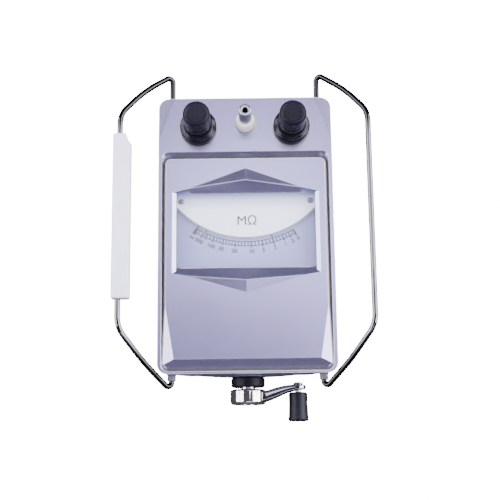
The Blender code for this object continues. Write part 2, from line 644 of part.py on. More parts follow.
def make_movement():
    """The moving-coil meter under the deck: bracket, magnet, core, and the coil with its pointer."""
    back_y = PIVOT[1] + 25.0 * MM
    front_y = PIVOT[1] - 25.0 * MM
    shelf_top = DIAL_Z - 1.0 * MM - GAP
    base_z = RIM_Z - 42.5 * MM
    plate = 2.2 * MM
    side_view = [
        (front_y + 8.0 * MM, base_z),
        (back_y, base_z),
        (back_y, RIM_Z - WALL - GAP),
        (back_y - plate, RIM_Z - WALL - GAP),
        (back_y - plate, shelf_top),
        (front_y, shelf_top),
        (front_y, shelf_top - plate),
        (back_y - plate, shelf_top - plate),
        (back_y - plate, base_z + plate),
        (front_y + 8.0 * MM, base_z + plate),
    ]
    bracket = piece("movement_bracket", outline_mesh([side_view], -16.0 * MM, 16.0 * MM), tester, CAST,
                    (PIVOT[0], 0.0, 0.0), SIDE_ON)
    cut(bracket, rod_mesh(2.4 * MM, shelf_top - 6.0 * MM, RIM_Z, 12), (*PIVOT, 0.0))

    coil_z = RIM_Z - 27.5 * MM
    ring = outline_mesh([circle(16.0 * MM, 24), circle(10.4 * MM, 20)], -6.5 * MM, 6.5 * MM)
    magnet = piece("movement_magnet", ring, tester, FERRITE, (*PIVOT, coil_z))
    opening = box_mesh((-3.5 * MM, 5.0 * MM, -10.0 * MM), (3.5 * MM, 20.0 * MM, 10.0 * MM))
    cut(magnet, opening, (*PIVOT, coil_z))

    cylinder = rod_mesh(6.0 * MM, -6.8 * MM, 6.8 * MM, 24)
    core = piece("movement_core", cylinder, tester, SOFT_IRON, (*PIVOT, coil_z))
    arm = rod_mesh(1.8 * MM, PIVOT[1] + 2.0 * MM, back_y - plate - GAP, 10)
    join(core, arm, (PIVOT[0], 0.0, coil_z), ALONG_Y)

    frame = [(-8.6 * MM, -9.6 * MM), (8.6 * MM, -9.6 * MM), (8.6 * MM, 9.6 * MM), (-8.6 * MM, 9.6 * MM)]
    hole = [(x * 0.76, y * 0.79) for x, y in frame]
    middle = coil_z - POINTER_Z
    coil = piece("pointer_coil", outline_mesh([frame, hole], -1.8 * MM, 1.8 * MM), meter_axis, WOUND,
                 (0.0, 0.0, middle), (radians(90.0), 0.0, 0.0))
    join(coil, rod_mesh(0.9 * MM, middle - 11.6 * MM, middle - 9.0 * MM, 8), parent=meter_axis)
    join(coil, rod_mesh(0.9 * MM, middle + 9.0 * MM, -GAP, 8), parent=meter_axis)

    needle = [
        (-1.6 * MM, 9.0 * MM),
        (-1.6 * MM, 2.0 * MM),
        (-1.1 * MM, -20.0 * MM),
        (-0.5 * MM, -POINTER_REACH + 6.0 * MM),
        (-0.5 * MM, -POINTER_REACH),
        (0.5 * MM, -POINTER_REACH),
        (0.5 * MM, -POINTER_REACH + 6.0 * MM),
        (1.1 * MM, -20.0 * MM),
        (1.6 * MM, 2.0 * MM),
        (1.6 * MM, 9.0 * MM),
    ]
    piece("pointer", outline_mesh([needle], 0.0, 0.5 * MM), meter_axis, GLOSS_BLACK)


# ---------------------------------------------------------------- terminals

def make_terminals():
    for side, name in ((-1, "line"), (1, "earth")):
        place = (side * TERMINAL_X, TERMINAL_Y, RIM_Z)
        bore = STUD_RADIUS + GAP
        base = turned_mesh([
            (BASE_RADIUS - 2.4 * MM, BASE_HEIGHT),
            (BASE_RADIUS - 0.8 * MM, BASE_HEIGHT - 0.8 * MM),
            (BASE_RADIUS - 0.3 * MM, BASE_HEIGHT - 2.6 * MM),
            (BASE_RADIUS, 2.4 * MM),
            (BASE_RADIUS, GAP),
            (bore, GAP),
            (bore, BASE_HEIGHT),
        ], closed=True)
        turn(piece(name + "_terminal_base", base, tester, GLOSS_BLACK, place), 24)
        stud = turned_mesh([
            (0.0, STUD_TOP),
            (STUD_RADIUS, STUD_TOP),
            (STUD_RADIUS, -14.0 * MM),
            (0.0, -14.0 * MM),
        ])
        turn(piece(name + "_stud", stud, tester, BRASSY, place), 10)
        make_nut(name + "_nut", place)

        seat = BASE_HEIGHT + GAP
        clamp = axes[name + "_clamp_axis"]
        washer = turned_mesh([
            (WASHER_RADIUS, seat + WASHER_THICKNESS),
            (WASHER_RADIUS, seat),
            (bore, seat),
            (bore, seat + WASHER_THICKNESS),
        ], closed=True)
        turn(piece(name + "_clamp_washer", washer, clamp, BRASSY), 16)
        foot = seat + WASHER_THICKNESS + GAP
        top = TERMINAL_TOP_Z - RIM_Z
        knob = turned_mesh([
            (0.0, top - 0.5 * MM),
            (6.4 * MM, top - 0.5 * MM),
            (6.9 * MM, top),
            (KNOB_RADIUS - 1.3 * MM, top),
            (KNOB_RADIUS, top - 1.3 * MM),
            (KNOB_RADIUS, 18.4 * MM),
            (KNOB_RADIUS - 0.5 * MM, 17.9 * MM),
            (KNOB_RADIUS, 17.4 * MM),
            (KNOB_RADIUS, foot + 0.8 * MM),
            (KNOB_RADIUS - 0.8 * MM, foot),
            (bore, foot),
            (bore, STUD_TOP + 2 * GAP),
            (0.0, STUD_TOP + 2 * GAP),
        ])
        turn(piece(name + "_knob", knob, clamp, GLOSS_BLACK), 22)

    place = (*GUARD, RIM_Z)
    sleeve = turned_mesh([
        (INSULATOR_RADIUS - 1.8 * MM, INSULATOR_HEIGHT),
        (INSULATOR_RADIUS - 0.7 * MM, INSULATOR_HEIGHT - 0.8 * MM),
        (INSULATOR_RADIUS, 3.0 * MM),
        (INSULATOR_RADIUS, GAP),
        (STUD_RADIUS + GAP, GAP),
        (STUD_RADIUS + GAP, INSULATOR_HEIGHT),
    ], closed=True)
    turn(piece("guard_insulator", sleeve, tester, PORCELAIN, place), 16)
    top = GUARD_TOP_Z - RIM_Z
    post = turned_mesh([
        (0.0, top - SOCKET_DEPTH),
        (SOCKET_RADIUS, top - SOCKET_DEPTH),
        (SOCKET_RADIUS, top),
        (GUARD_RADIUS - 0.65 * MM, top),
        (GUARD_RADIUS, top - 0.6 * MM),
        (GUARD_RADIUS, INSULATOR_HEIGHT + GAP),
        (STUD_RADIUS, INSULATOR_HEIGHT + GAP),
        (STUD_RADIUS, -10.5 * MM),
        (0.0, -10.5 * MM),
    ])
    turn(piece("guard_post", post, tester, PLATED, place), 14)
    make_nut("guard_nut", place)


def make_nut(name, place):
    """A hexagon nut under the deck."""
    low = -WALL - GAP - 5.0 * MM
    nut = outline_mesh([circle(5.8 * MM, 6), circle(STUD_RADIUS + GAP, 12)], low, -WALL - GAP)
    piece(name, nut, tester, BRASSY, place)


# ---------------------------------------------------------------- crank, gears and generator

def gear_outline(module, teeth, phase):
    """Straight-sided teeth, thinned so that a pair turns without touching; one centred on phase."""
    pitch_radius = module * teeth / 2
    root = pitch_radius - 1.2 * module
    tip = pitch_radius + 0.8 * module
    pitch = 2 * pi / teeth
    points = []
    for i in range(teeth):
        middle = phase + i * pitch
        for radius, offset in ((root, -0.27), (tip, -0.10), (tip, 0.10), (root, 0.27)):
            angle = middle + offset * pitch
            points.append((radius * cos(angle), radius * sin(angle)))
    return points


def gear_mesh(module, teeth, phase, bore, low, high):
    outlines = [gear_outline(module, teeth, phase)]
    if bore:
        outlines.append(circle(bore, 12))
    return outline_mesh(outlines, low, high)


def local_direction(angle):
    """A direction in the world's XZ plane, as an angle in a piece turned ALONG_Y."""
    return atan2(-sin(angle), cos(angle))


def make_crank():
    bearing = turned_mesh([
        (BEARING_RADIUS, -85.4 * MM),
        (BEARING_RADIUS, BOSS_END_Y + 0.4 * MM),
        (SHAFT_RADIUS + GAP, BOSS_END_Y + 0.4 * MM),
        (SHAFT_RADIUS + GAP, -85.4 * MM),
    ], closed=True)
    place = (CRANK_AXIS[0], 0.0, CRANK_AXIS[1])
    turn(piece("crank_bearing", bearing, tester, BRASSY, place, ALONG_Y), 18)
    collar = turned_mesh([
        (11.0 * MM, BOSS_END_Y - GAP),
        (11.9 * MM, BOSS_END_Y - 1.2 * MM),
        (11.9 * MM, COLLAR_END_Y + 1.6 * MM),
        (9.0 * MM, COLLAR_END_Y),
        (SHAFT_RADIUS + GAP, COLLAR_END_Y),
        (SHAFT_RADIUS + GAP, BOSS_END_Y - GAP),
    ], closed=True)
    turn(piece("crank_collar", collar, tester, GLOSS_BLACK, place, ALONG_Y), 22)

    shaft = turned_mesh([
        (0.0, -48.5 * MM),
        (JOURNAL_RADIUS, -48.5 * MM),
        (JOURNAL_RADIUS, -84.8 * MM),
        (SHAFT_RADIUS, -84.8 * MM),
        (SHAFT_RADIUS, HUB_FAR_Y + GAP),
        (JOURNAL_RADIUS, HUB_FAR_Y + GAP),
        (JOURNAL_RADIUS, -108.6 * MM),
        (SCREW_RADIUS + GAP, -108.6 * MM),
        (SCREW_RADIUS + GAP, -103.6 * MM),
        (0.0, -103.6 * MM),
    ])
    turn(piece("crank_shaft", shaft, crank_axis, PLATED, rotation=ALONG_Y), 16)

    hub = turned_mesh([
        (0.0, HUB_FAR_Y),
        (HUB_RADIUS - 1.0 * MM, HUB_FAR_Y),
        (HUB_RADIUS, HUB_FAR_Y - 1.0 * MM),
        (HUB_RADIUS, HUB_NEAR_Y + 2.4 * MM),
        (HUB_RADIUS - 0.8 * MM, HUB_NEAR_Y + 0.9 * MM),
        (HUB_RADIUS - 2.6 * MM, HUB_NEAR_Y),
        (0.0, HUB_NEAR_Y),
    ])
    arm = turn(piece("crank_arm", hub, crank_axis, CHROMED, rotation=ALONG_Y), 24)
    join_meshes(arm, arm_meshes())
    before = HUB_NEAR_Y - 5.0 * MM
    holes = (
        (JOURNAL_RADIUS + GAP, -109.0 * MM, HUB_FAR_Y + 5.0 * MM, 0.0),
        (5.2 * MM, before, HUB_NEAR_Y + 2.6 * MM, 0.0),
        (SCREW_RADIUS + GAP, before, -105.0 * MM, 0.0),
        (PIN_RADIUS + GAP, -110.0 * MM, -90.0 * MM, CRANK_RADIUS),
    )
    for radius, start, end, x in holes:
        cut(arm, rod_mesh(radius, start, end, 16), (x, 0.0, 0.0), ALONG_Y, crank_axis)

    head = HUB_NEAR_Y + 2.6 * MM - GAP
    screw = turned_mesh([
        (0.0, -104.0 * MM),
        (SCREW_RADIUS, -104.0 * MM),
        (SCREW_RADIUS, head),
        (4.4 * MM, head),
        (4.4 * MM, head - 1.4 * MM),
        (3.8 * MM, head - 1.9 * MM),
        (0.0, head - 1.9 * MM),
    ])
    turn(piece("crank_screw", screw, crank_axis, PLATED, rotation=ALONG_Y), 12)

    pin = turned_mesh([
        (0.0, -98.3 * MM),
        (2.6 * MM, -98.3 * MM),
        (3.3 * MM, -98.9 * MM),
        (3.3 * MM, -99.5 * MM),
        (PIN_RADIUS, -99.5 * MM),
        (PIN_RADIUS, -121.0 * MM),
        (0.0, -121.0 * MM),
    ])
    turn(piece("grip_pin", pin, crank_axis, CHROMED, (CRANK_RADIUS, 0.0, 0.0), ALONG_Y), 12)

    bore = PIN_RADIUS + GAP
    grip = turned_mesh([
        (6.2 * MM, GRIP_START_Y),
        (6.9 * MM, GRIP_START_Y - 0.7 * MM),
        (6.8 * MM, GRIP_START_Y - 8.0 * MM),
        (7.2 * MM, GRIP_END_Y + 1.6 * MM),
        (7.2 * MM, GRIP_END_Y + 0.7 * MM),
        (6.5 * MM, GRIP_END_Y),
        (0.0, GRIP_END_Y),
        (0.0, -121.6 * MM),
        (bore, -121.6 * MM),
        (bore, GRIP_START_Y),
    ], closed=True)
    turn(piece("crank_grip", grip, grip_axis, GLOSS_BLACK, rotation=ALONG_Y), 18)


def arm_meshes():
    """The crank's arm, as a side view that steps back towards the case and a plan with a round end."""
    side = [
        (4.0 * MM, -104.2 * MM),
        (13.3 * MM, -104.2 * MM),
        (22.0 * MM, -101.4 * MM),
        (30.0 * MM, -100.0 * MM),
        (42.0 * MM, -100.0 * MM),
        (42.0 * MM, -103.4 * MM),
        (37.0 * MM, -104.0 * MM),
        (30.0 * MM, -104.9 * MM),
        (14.5 * MM, -111.6 * MM),
        (10.0 * MM, -113.0 * MM),
        (4.0 * MM, -113.0 * MM),
    ]
    end = 5.4 * MM
    plan = [(0.0, -8.6 * MM), (CRANK_RADIUS, -end)]
    plan += arc(end, -pi / 2, pi / 2, 8, (CRANK_RADIUS, 0.0))[1:]
    plan += [(0.0, 8.6 * MM)]
    side_view = outline_mesh([list(reversed(side))], -10.0 * MM, 10.0 * MM)
    plan_view = outline_mesh([plan], -120.0 * MM, -90.0 * MM)
    return side_view, plan_view


def join_meshes(target, pair):
    """Join to the target the shape that both of a pair of outlines share."""
    side_view, plan_view = pair
    shape = tool(side_view, crank_axis)
    combine(shape, tool(plan_view, crank_axis, rotation=ALONG_Y), "INTERSECT")
    combine(target, shape, "UNION")


def make_gears():
    toward_idler = local_direction(IDLER_SIDE)
    toward_rotor = local_direction(ROTOR_SIDE)
    gear = gear_mesh(FIRST_MODULE, CRANK_TEETH, toward_idler, JOURNAL_RADIUS + GAP, *FIRST_STAGE)
    piece("crank_gear", gear, crank_axis, BRASSY, rotation=ALONG_Y)

    facing_gap = toward_idler + pi + pi / IDLER_PINION_TEETH
    pinion = gear_mesh(FIRST_MODULE, IDLER_PINION_TEETH, facing_gap, 0.0, *FIRST_STAGE)
    idler = piece("idler_shaft", pinion, idler_axis, STEELY, rotation=ALONG_Y)
    join(idler, rod_mesh(IDLER_SHAFT, -83.2 * MM, -51.4 * MM, 16), rotation=ALONG_Y, parent=idler_axis)
    wheel = gear_mesh(SECOND_MODULE, IDLER_TEETH, toward_rotor, IDLER_SHAFT + GAP, *SECOND_STAGE)
    piece("idler_gear", wheel, idler_axis, BRASSY, rotation=ALONG_Y)

    facing_gap = toward_rotor + pi + pi / ROTOR_PINION_TEETH
    pinion = gear_mesh(SECOND_MODULE, ROTOR_PINION_TEETH, facing_gap, 0.0, *SECOND_STAGE)
    rotor = piece("rotor_shaft", pinion, rotor_axis, STEELY, rotation=ALONG_Y)
    join(rotor, rod_mesh(ROTOR_SHAFT, -83.2 * MM, -19.4 * MM, 14), rotation=ALONG_Y, parent=rotor_axis)
    magnet = turned_mesh([
        (11.6 * MM, -25.5 * MM),
        (12.2 * MM, -26.1 * MM),
        (12.2 * MM, -46.4 * MM),
        (11.6 * MM, -47.0 * MM),
        (ROTOR_SHAFT + GAP, -47.0 * MM),
        (ROTOR_SHAFT + GAP, -25.5 * MM),
    ], closed=True)
    turn(piece("rotor_magnet", magnet, rotor_axis, FERRITE, rotation=ALONG_Y), 16)


def make_generator():
    front_y = -83.5 * MM
    back_y = -51.0 * MM
    plate = 3.0 * MM
    low = FLOOR_Z + WALL + GAP
    high = 96.0 * MM
    side_view = [
        (front_y, low),
        (back_y, low),
        (back_y, high),
        (back_y - plate, high),
        (back_y - plate, low + plate),
        (front_y + plate, low + plate),
        (front_y + plate, high),
        (front_y, high),
    ]
    channel = outline_mesh([side_view], -37.0 * MM, 37.0 * MM)
    frame = piece("gear_frame", channel, tester, CAST, rotation=SIDE_ON)
    shafts = ((CRANK_AXIS, JOURNAL_RADIUS), (IDLER_AXIS, IDLER_SHAFT), (ROTOR_AXIS, ROTOR_SHAFT))
    for centre, radius in shafts:
        hole = rod_mesh(radius + GAP, front_y - 5.0 * MM, back_y + 5.0 * MM, 14)
        cut(frame, hole, (centre[0], 0.0, centre[1]), ALONG_Y)

    place = (ROTOR_AXIS[0], 0.0, ROTOR_AXIS[1])
    rings = (
        ("stator_front", -50.7 * MM, -40.2 * MM, STATOR_RADIUS, 13.0 * MM, SOFT_IRON),
        ("stator_coil", -39.9 * MM, -33.1 * MM, COIL_RADIUS, 14.0 * MM, WOUND),
        ("stator_rear", -32.8 * MM, -22.4 * MM, STATOR_RADIUS, 13.0 * MM, SOFT_IRON),
        ("rear_bearing_plate", -22.1 * MM, -19.1 * MM, STATOR_RADIUS, ROTOR_SHAFT + GAP, CAST),
    )
    for name, start, end, outer, inner, finish in rings:
        ring = turned_mesh([(outer, end), (outer, start), (inner, start), (inner, end)], closed=True)
        turn(piece(name, ring, tester, finish, place, ALONG_Y), 20)


def make_circuit_board():
    low = (-BOARD_X, BOARD_MIDDLE_Y - BOARD_Y, BOARD_Z)
    high = (BOARD_X, BOARD_MIDDLE_Y + BOARD_Y, BOARD_Z + BOARD_THICKNESS)
    piece("circuit_board", box_mesh(low, high), tester, FIBREGLASS)
    top = BOARD_Z + BOARD_THICKNESS + GAP
    for i, (x, y) in enumerate(CAPACITORS):
        can = turned_mesh([
            (0.0, 24.0 * MM),
            (5.6 * MM, 24.0 * MM),
            (6.2 * MM, 23.4 * MM),
            (6.2 * MM, 0.0),
            (0.0, 0.0),
        ])
        turn(piece("filter_capacitor_" + "ab"[i], can, tester, SLEEVED, (x, y, top)), 12)


# ---------------------------------------------------------------- bails

def rounded_path(corners, radii, steps):
    """Points along straight runs joined by arcs: corners are (y, z), one radius for each inner one."""
    points = [corners[0]]
    for before, here, after, radius in zip(corners, corners[1:], corners[2:], radii):
        into = Vector((here[0] - before[0], here[1] - before[1])).normalized()
        out = Vector((after[0] - here[0], after[1] - here[1])).normalized()
        turn_angle = into.angle_signed(out)
        reach = radius * tan(abs(turn_angle) / 2)
        start = Vector(here) - into * reach
        side = -1.0 if turn_angle > 0 else 1.0
        centre = start + Vector((-into.y, into.x)) * radius * side
        for i in range(steps + 1):
            swing = -turn_angle * i / steps
            spoke = start - centre
            points.append((
                centre.x + spoke.x * cos(swing) - spoke.y * sin(swing),
                centre.y + spoke.x * sin(swing) + spoke.y * cos(swing),
            ))
    points.append(corners[-1])
    return points


def bail_path():
    corners = [
        (-PIN_END_Y, 0.0),
        (BAIL_NEAR_Y, 0.0),
        (RAIL_NEAR_Y, BAIL_REACH),
        (RAIL_FAR_Y, BAIL_REACH),
        (BAIL_FAR_Y, 0.0),
        (PIN_END_Y, 0.0),
    ]
    flat = rounded_path(corners, BAIL_BENDS, 7)
    return [(0.0, y, z) for y, z in flat]


def make_bails():
    piece("left_bail", tube_mesh(bail_path(), BAIL_WIRE), left_bail_axis, CHROMED)
    piece("right_bail", tube_mesh(bail_path(), BAIL_WIRE), right_bail_axis, CHROMED)
    low = (-4.3 * MM, -4.6 * MM)
    high = (7.9 * MM, 4.6 * MM)
    edge = 1.6 * MM
    section = [
        (low[0] + edge, low[1]), (high[0] - edge, low[1]), (high[0], low[1] + edge),
        (high[0], high[1] - edge), (high[0] - edge, high[1]), (low[0] + edge, high[1]),
        (low[0], high[1] - edge), (low[0], low[1] + edge),
    ]
    sleeve = outline_mesh([section, circle(BAIL_WIRE + GAP, 14)], GRIP_NEAR_Y, GRIP_FAR_Y)
    place = (0.0, 0.0, BAIL_REACH)
    upright = Matrix.Rotation(LEFT_LEAN, 4, "Y") @ Matrix.Rotation(radians(-90.0), 4, "X")
    facing = upright.to_euler()
    grip = piece("left_bail_grip", sleeve, left_bail_axis, WHITE_PLASTIC, place, facing)
    notch = [
        (high[0] - 3.2 * MM, GRIP_FAR_Y + 1.0 * MM),
        (high[0] + 2.0 * MM, GRIP_FAR_Y - 7.8 * MM),
        (high[0] + 2.0 * MM, GRIP_FAR_Y + 1.0 * MM),
    ]
    wedge = outline_mesh([notch], -8.0 * MM, 8.0 * MM)
    tilt = Matrix.Rotation(LEFT_LEAN, 4, "Y").to_euler()
    cut(grip, wedge, place, tilt, left_bail_axis)


# ---------------------------------------------------------------- assembly

clear_scene()
parts = new_collection(COLLECTION)
tools = new_collection("cutters")
tester = new_empty("tester", (*CASE_CENTRE, 0.0))
meter_axis = new_empty("meter_axis", (*PIVOT, POINTER_Z), tester)
meter_axis.rotation_euler = (0.0, 0.0, POINTER_REST)
crank_axis = new_empty("crank_axis", (CRANK_AXIS[0], 0.0, CRANK_AXIS[1]), tester)
grip_axis = new_empty("grip_axis", (CRANK_RADIUS, 0.0, 0.0), crank_axis)
idler_axis = new_empty("idler_axis", (IDLER_AXIS[0], 0.0, IDLER_AXIS[1]), tester)
rotor_axis = new_empty("rotor_axis", (ROTOR_AXIS[0], 0.0, ROTOR_AXIS[1]), tester)
left_bail_axis = new_empty("left_bail_axis", (-BAIL_PIVOT_X, 0.0, BAIL_PIVOT_Z), tester)
left_bail_axis.rotation_euler = (0.0, -LEFT_LEAN, 0.0)
right_bail_axis = new_empty("right_bail_axis", (BAIL_PIVOT_X, 0.0, BAIL_PIVOT_Z), tester)
right_bail_axis.rotation_euler = (0.0, RIGHT_LEAN, 0.0)
axes = {
    "line_clamp_axis": new_empty("line_clamp_axis", (-TERMINAL_X, TERMINAL_Y, RIM_Z), tester),
    "earth_clamp_axis": new_empty("earth_clamp_axis", (TERMINAL_X, TERMINAL_Y, RIM_Z), tester),
}

make_lower_case()
make_top_cover()
make_feet_and_screws()
make_bail_bushes()
make_window_and_dial()
make_movement()
make_terminals()
make_crank()
make_gears()
make_generator()
make_circuit_board()
make_bails()
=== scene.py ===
"""The looks of a hand-cranked insulation resistance tester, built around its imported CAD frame.

Shapes are made in millimetres from the middle of the case, with Z up from the bench, and are moved
into the frame's metres as they are added. X runs to the right across the dial, and Y from the
crank end to the terminal end. Angles are in degrees.
"""

import json
from math import cos, pi, radians, sin, tan

import bmesh
import bpy
from mathutils import Matrix, Vector


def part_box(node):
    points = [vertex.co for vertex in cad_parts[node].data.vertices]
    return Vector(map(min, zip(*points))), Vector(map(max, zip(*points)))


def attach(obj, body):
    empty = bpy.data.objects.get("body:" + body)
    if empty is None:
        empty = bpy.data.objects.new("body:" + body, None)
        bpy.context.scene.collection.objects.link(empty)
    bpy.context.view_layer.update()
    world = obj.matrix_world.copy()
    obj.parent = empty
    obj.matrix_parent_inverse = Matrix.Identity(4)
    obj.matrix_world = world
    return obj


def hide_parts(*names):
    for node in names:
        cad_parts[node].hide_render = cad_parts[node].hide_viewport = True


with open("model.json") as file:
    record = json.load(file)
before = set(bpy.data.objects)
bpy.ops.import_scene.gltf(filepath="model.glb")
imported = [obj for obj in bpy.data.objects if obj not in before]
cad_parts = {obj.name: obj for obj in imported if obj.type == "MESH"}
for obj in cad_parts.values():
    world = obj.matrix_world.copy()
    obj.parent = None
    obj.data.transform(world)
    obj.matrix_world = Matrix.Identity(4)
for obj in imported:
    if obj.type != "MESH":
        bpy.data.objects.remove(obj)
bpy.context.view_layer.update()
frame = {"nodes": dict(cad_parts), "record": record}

MM = 0.001


def node_box(node):
    """The lowest and highest corner of a CAD node, in mm from the middle of the case."""
    return [(Vector(corner) - ORIGIN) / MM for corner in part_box(node)]


def node_middle(node):
    low, high = node_box(node)
    return (low + high) / 2


case_low, case_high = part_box("lower_case")
ORIGIN = Vector(((case_low.x + case_high.x) / 2, 0.0, 0.0))
cover_low, cover_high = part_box("top_cover")
ORIGIN.y = (cover_low.y + cover_high.y) / 2

# Case and cover, as in the CAD
SEAM_Z = node_box("top_cover")[0].z
RIM_Z = SEAM_Z + 7.0
CASE_TOP_Z = node_box("lower_case")[1].z
CASE_LOW_Z = node_box("lower_case")[0].z
RIM_X, RIM_Y = 60.0, 96.0
DRAFT = 4.0
CORNER_RADIUS = 7.0
WALL = 2.6
TRAY_X = 57.3
TRAY_NEAR_Y, TRAY_FAR_Y = -94.2, 56.9
TRAY_RADIUS = 4.6
TRAY_Z = RIM_Z - 3.6
TRAY_NEAR_Z = RIM_Z - 1.5          # the tray is shallow round the near corners
SLOPE_X = 52.0                     # and deep below the panel's near slope, up to here
TRAY_FOOT_X, TRAY_FOOT_NEAR_Y, TRAY_FOOT_FAR_Y = 55.7, -94.0, 52.8
TRAY_END_X = 57.0                  # the tray's foot widens to this at the near end
TRAY_CORNER_X, TRAY_CORNER_Y = 56.4, TRAY_NEAR_Y + 4.4
PANEL_Z = RIM_Z + 1.0
PANEL_X, PANEL_FAR_Y = 54.6, 51.6
PANEL_RADIUS = 3.4
FACET_START_Y = -50.0
NOSE_X, NOSE_Y = 48.8, -86.2
RIDGE_Z = node_box("top_cover")[1].z
HOOD_X = 50.2
SIDE_CHAMFER = 1.5
HOOD_FAR_Y, HOOD_NEAR_Y = 27.8, -28.6
RIDGE_FAR_Y, RIDGE_NEAR_Y = 35.4, -34.0
TIP_FAR_Y, TIP_NEAR_Y = 44.4, -41.8
FADE_X, FADE_Y = 38.0, 30.6
WINDOW_X = 47.4
WINDOW_FAR_Y, WINDOW_NEAR_Y = 27.4, -24.0
LEDGE_Z = RIM_Z - 2.8
SEAT_X, SEAT_NEAR_Y, SEAT_FAR_Y = 50.3, -27.1, 30.8       # where the glass lies below the ledge
POST_X, POST_Y = 43.0, 78.0

# Dial
PIVOT = Vector((0.4, 62.0))
DIAL_Z = node_box("dial_plate")[1].z
MASK_TOP_Z = node_box("dial_mask")[1].z
MASK_RADIUS = 64.8

# Terminals and crank
KNOB_RADIUS = 9.2
KNOB_LETTER_SIZE = 8.4
BASE_RADIUS = 12.6
CRANK_Z = node_middle("crank_collar").z
CRANK_X = node_middle("crank_collar").x
CRANK_RADIUS = node_middle("crank_grip").x - CRANK_X
HUB_RADIUS = 12.6
HUB_FAR_Y, HUB_NEAR_Y = -103.2, -113.8
PIN_FOOT_Y = -121.0
FLARE_RADIUS, FLARE_TOP_RADIUS = 42.0, 16.0

# Handles
BAIL_PIVOT_X = 51.1
BAIL_PIVOT_Z = node_middle("left_near_bail_bush").z
BAIL_REACH = 43.0
BAIL_WIRE = 2.0
PIN_END_Y = 88.0
BAIL_CORNERS = (                   # along Y, out from the pins, and the bend's radius
    (-PIN_END_Y, 0.0, 0), (-106.5, 0.0, 3.0), (-87.6, 22.7, 150.0), (-66.0, BAIL_REACH, 18.0),
    (80.0, BAIL_REACH, 18.0), (101.2, 23.5, 120.0), (118.2, 0.0, 3.0), (PIN_END_Y, 0.0, 0),
)
LEFT_LEAN, RIGHT_LEAN = 51.6, 49.1

CORNERS = [f"{side}_{end}" for side in ("left", "right") for end in ("near", "far")]


# ---------------------------------------------------------------- materials

def new_material(name):
    made = bpy.data.materials.new(name)
    made.use_nodes = True
    tree = made.node_tree
    return made, tree, tree.nodes["Principled BSDF"]


def set_inputs(tree, node, **inputs):
    """Sets a node's inputs by name, each from a value or from another node's output."""
    for name, value in inputs.items():
        socket = node.inputs[name.replace("_", " ")]
        if isinstance(value, bpy.types.NodeSocket):
            tree.links.new(value, socket)
        else:
            socket.default_value = value
    return node


def add_node(tree, kind, **inputs):
    return set_inputs(tree, tree.nodes.new(kind), **inputs)


def own_place(tree):
    """The object's own coordinates, in metres."""
    return add_node(tree, "ShaderNodeTexCoord").outputs["Object"]


def noise(tree, scale, detail=3.0, stretch=(1.0, 1.0, 1.0)):
    """Noise over the object's own coordinates: scale is in features per metre."""
    mapping = add_node(tree, "ShaderNodeMapping", Vector=own_place(tree), Scale=stretch)
    return add_node(tree, "ShaderNodeTexNoise", Vector=mapping.outputs["Vector"], Scale=scale,
                    Detail=detail).outputs["Fac"]


def spread(tree, value, low, high, start=0.3, end=0.7):
    """Maps a noise value between start and end onto low to high."""
    return add_node(tree, "ShaderNodeMapRange", Value=value, From_Min=start, From_Max=end,
                    To_Min=low, To_Max=high).outputs["Result"]


def mix(tree, factor, first, second):
    """Mixes two colours, each a tuple or another node's output, by another node's output."""
    node = tree.nodes.new("ShaderNodeMix")
    node.data_type = "RGBA"
    for name, value in (("Factor_Float", factor), ("A_Color", first), ("B_Color", second)):
        socket = next(s for s in node.inputs if s.identifier == name)
        if isinstance(value, bpy.types.NodeSocket):
            tree.links.new(value, socket)
        else:
            socket.default_value = (*value, 1.0)
    return next(s for s in node.outputs if s.identifier == "Result_Color")


def maths(tree, operation, first, second=None):
    node = add_node(tree, "ShaderNodeMath", Value=first)
    node.operation = operation
    if second:
        tree.links.new(second, node.inputs[1])
    return node.outputs["Value"]


def own_y(tree):
    return add_node(tree, "ShaderNodeSeparateXYZ", Vector=own_place(tree)).outputs["Y"]


def mottled(tree, pattern, colour, low, high):
    """A colour that wanders between low and high times itself."""
    dark = tuple(c * low for c in colour)
    light = tuple(min(1.0, c * high) for c in colour)
    return mix(tree, spread(tree, pattern, 0.0, 1.0), dark, light)


def edge_mask(tree, radius, gain=6.0):
    """1 on sharp outer and inner edges, 0 on flats, from how far a rounded normal turns away."""
    rounded = add_node(tree, "ShaderNodeBevel", Radius=radius * MM)
    rounded.samples = 4
    geometry = tree.nodes.new("ShaderNodeNewGeometry")
    dot = tree.nodes.new("ShaderNodeVectorMath")
    dot.operation = "DOT_PRODUCT"
    tree.links.new(rounded.outputs["Normal"], dot.inputs[0])
    tree.links.new(geometry.outputs["Normal"], dot.inputs[1])
    return spread(tree, dot.outputs["Value"], 1.0, 0.0, 1.0 - 1.0 / gain, 1.0)


def bump(tree, height, strength, distance):
    """The normal of a relief whose depth, distance, is in mm."""
    return add_node(tree, "ShaderNodeBump", Height=height, Strength=strength,
                    Distance=distance * MM).outputs["Normal"]


WEAR_RADIUS = 0.5                  # how far wear reaches in from an edge, in mm


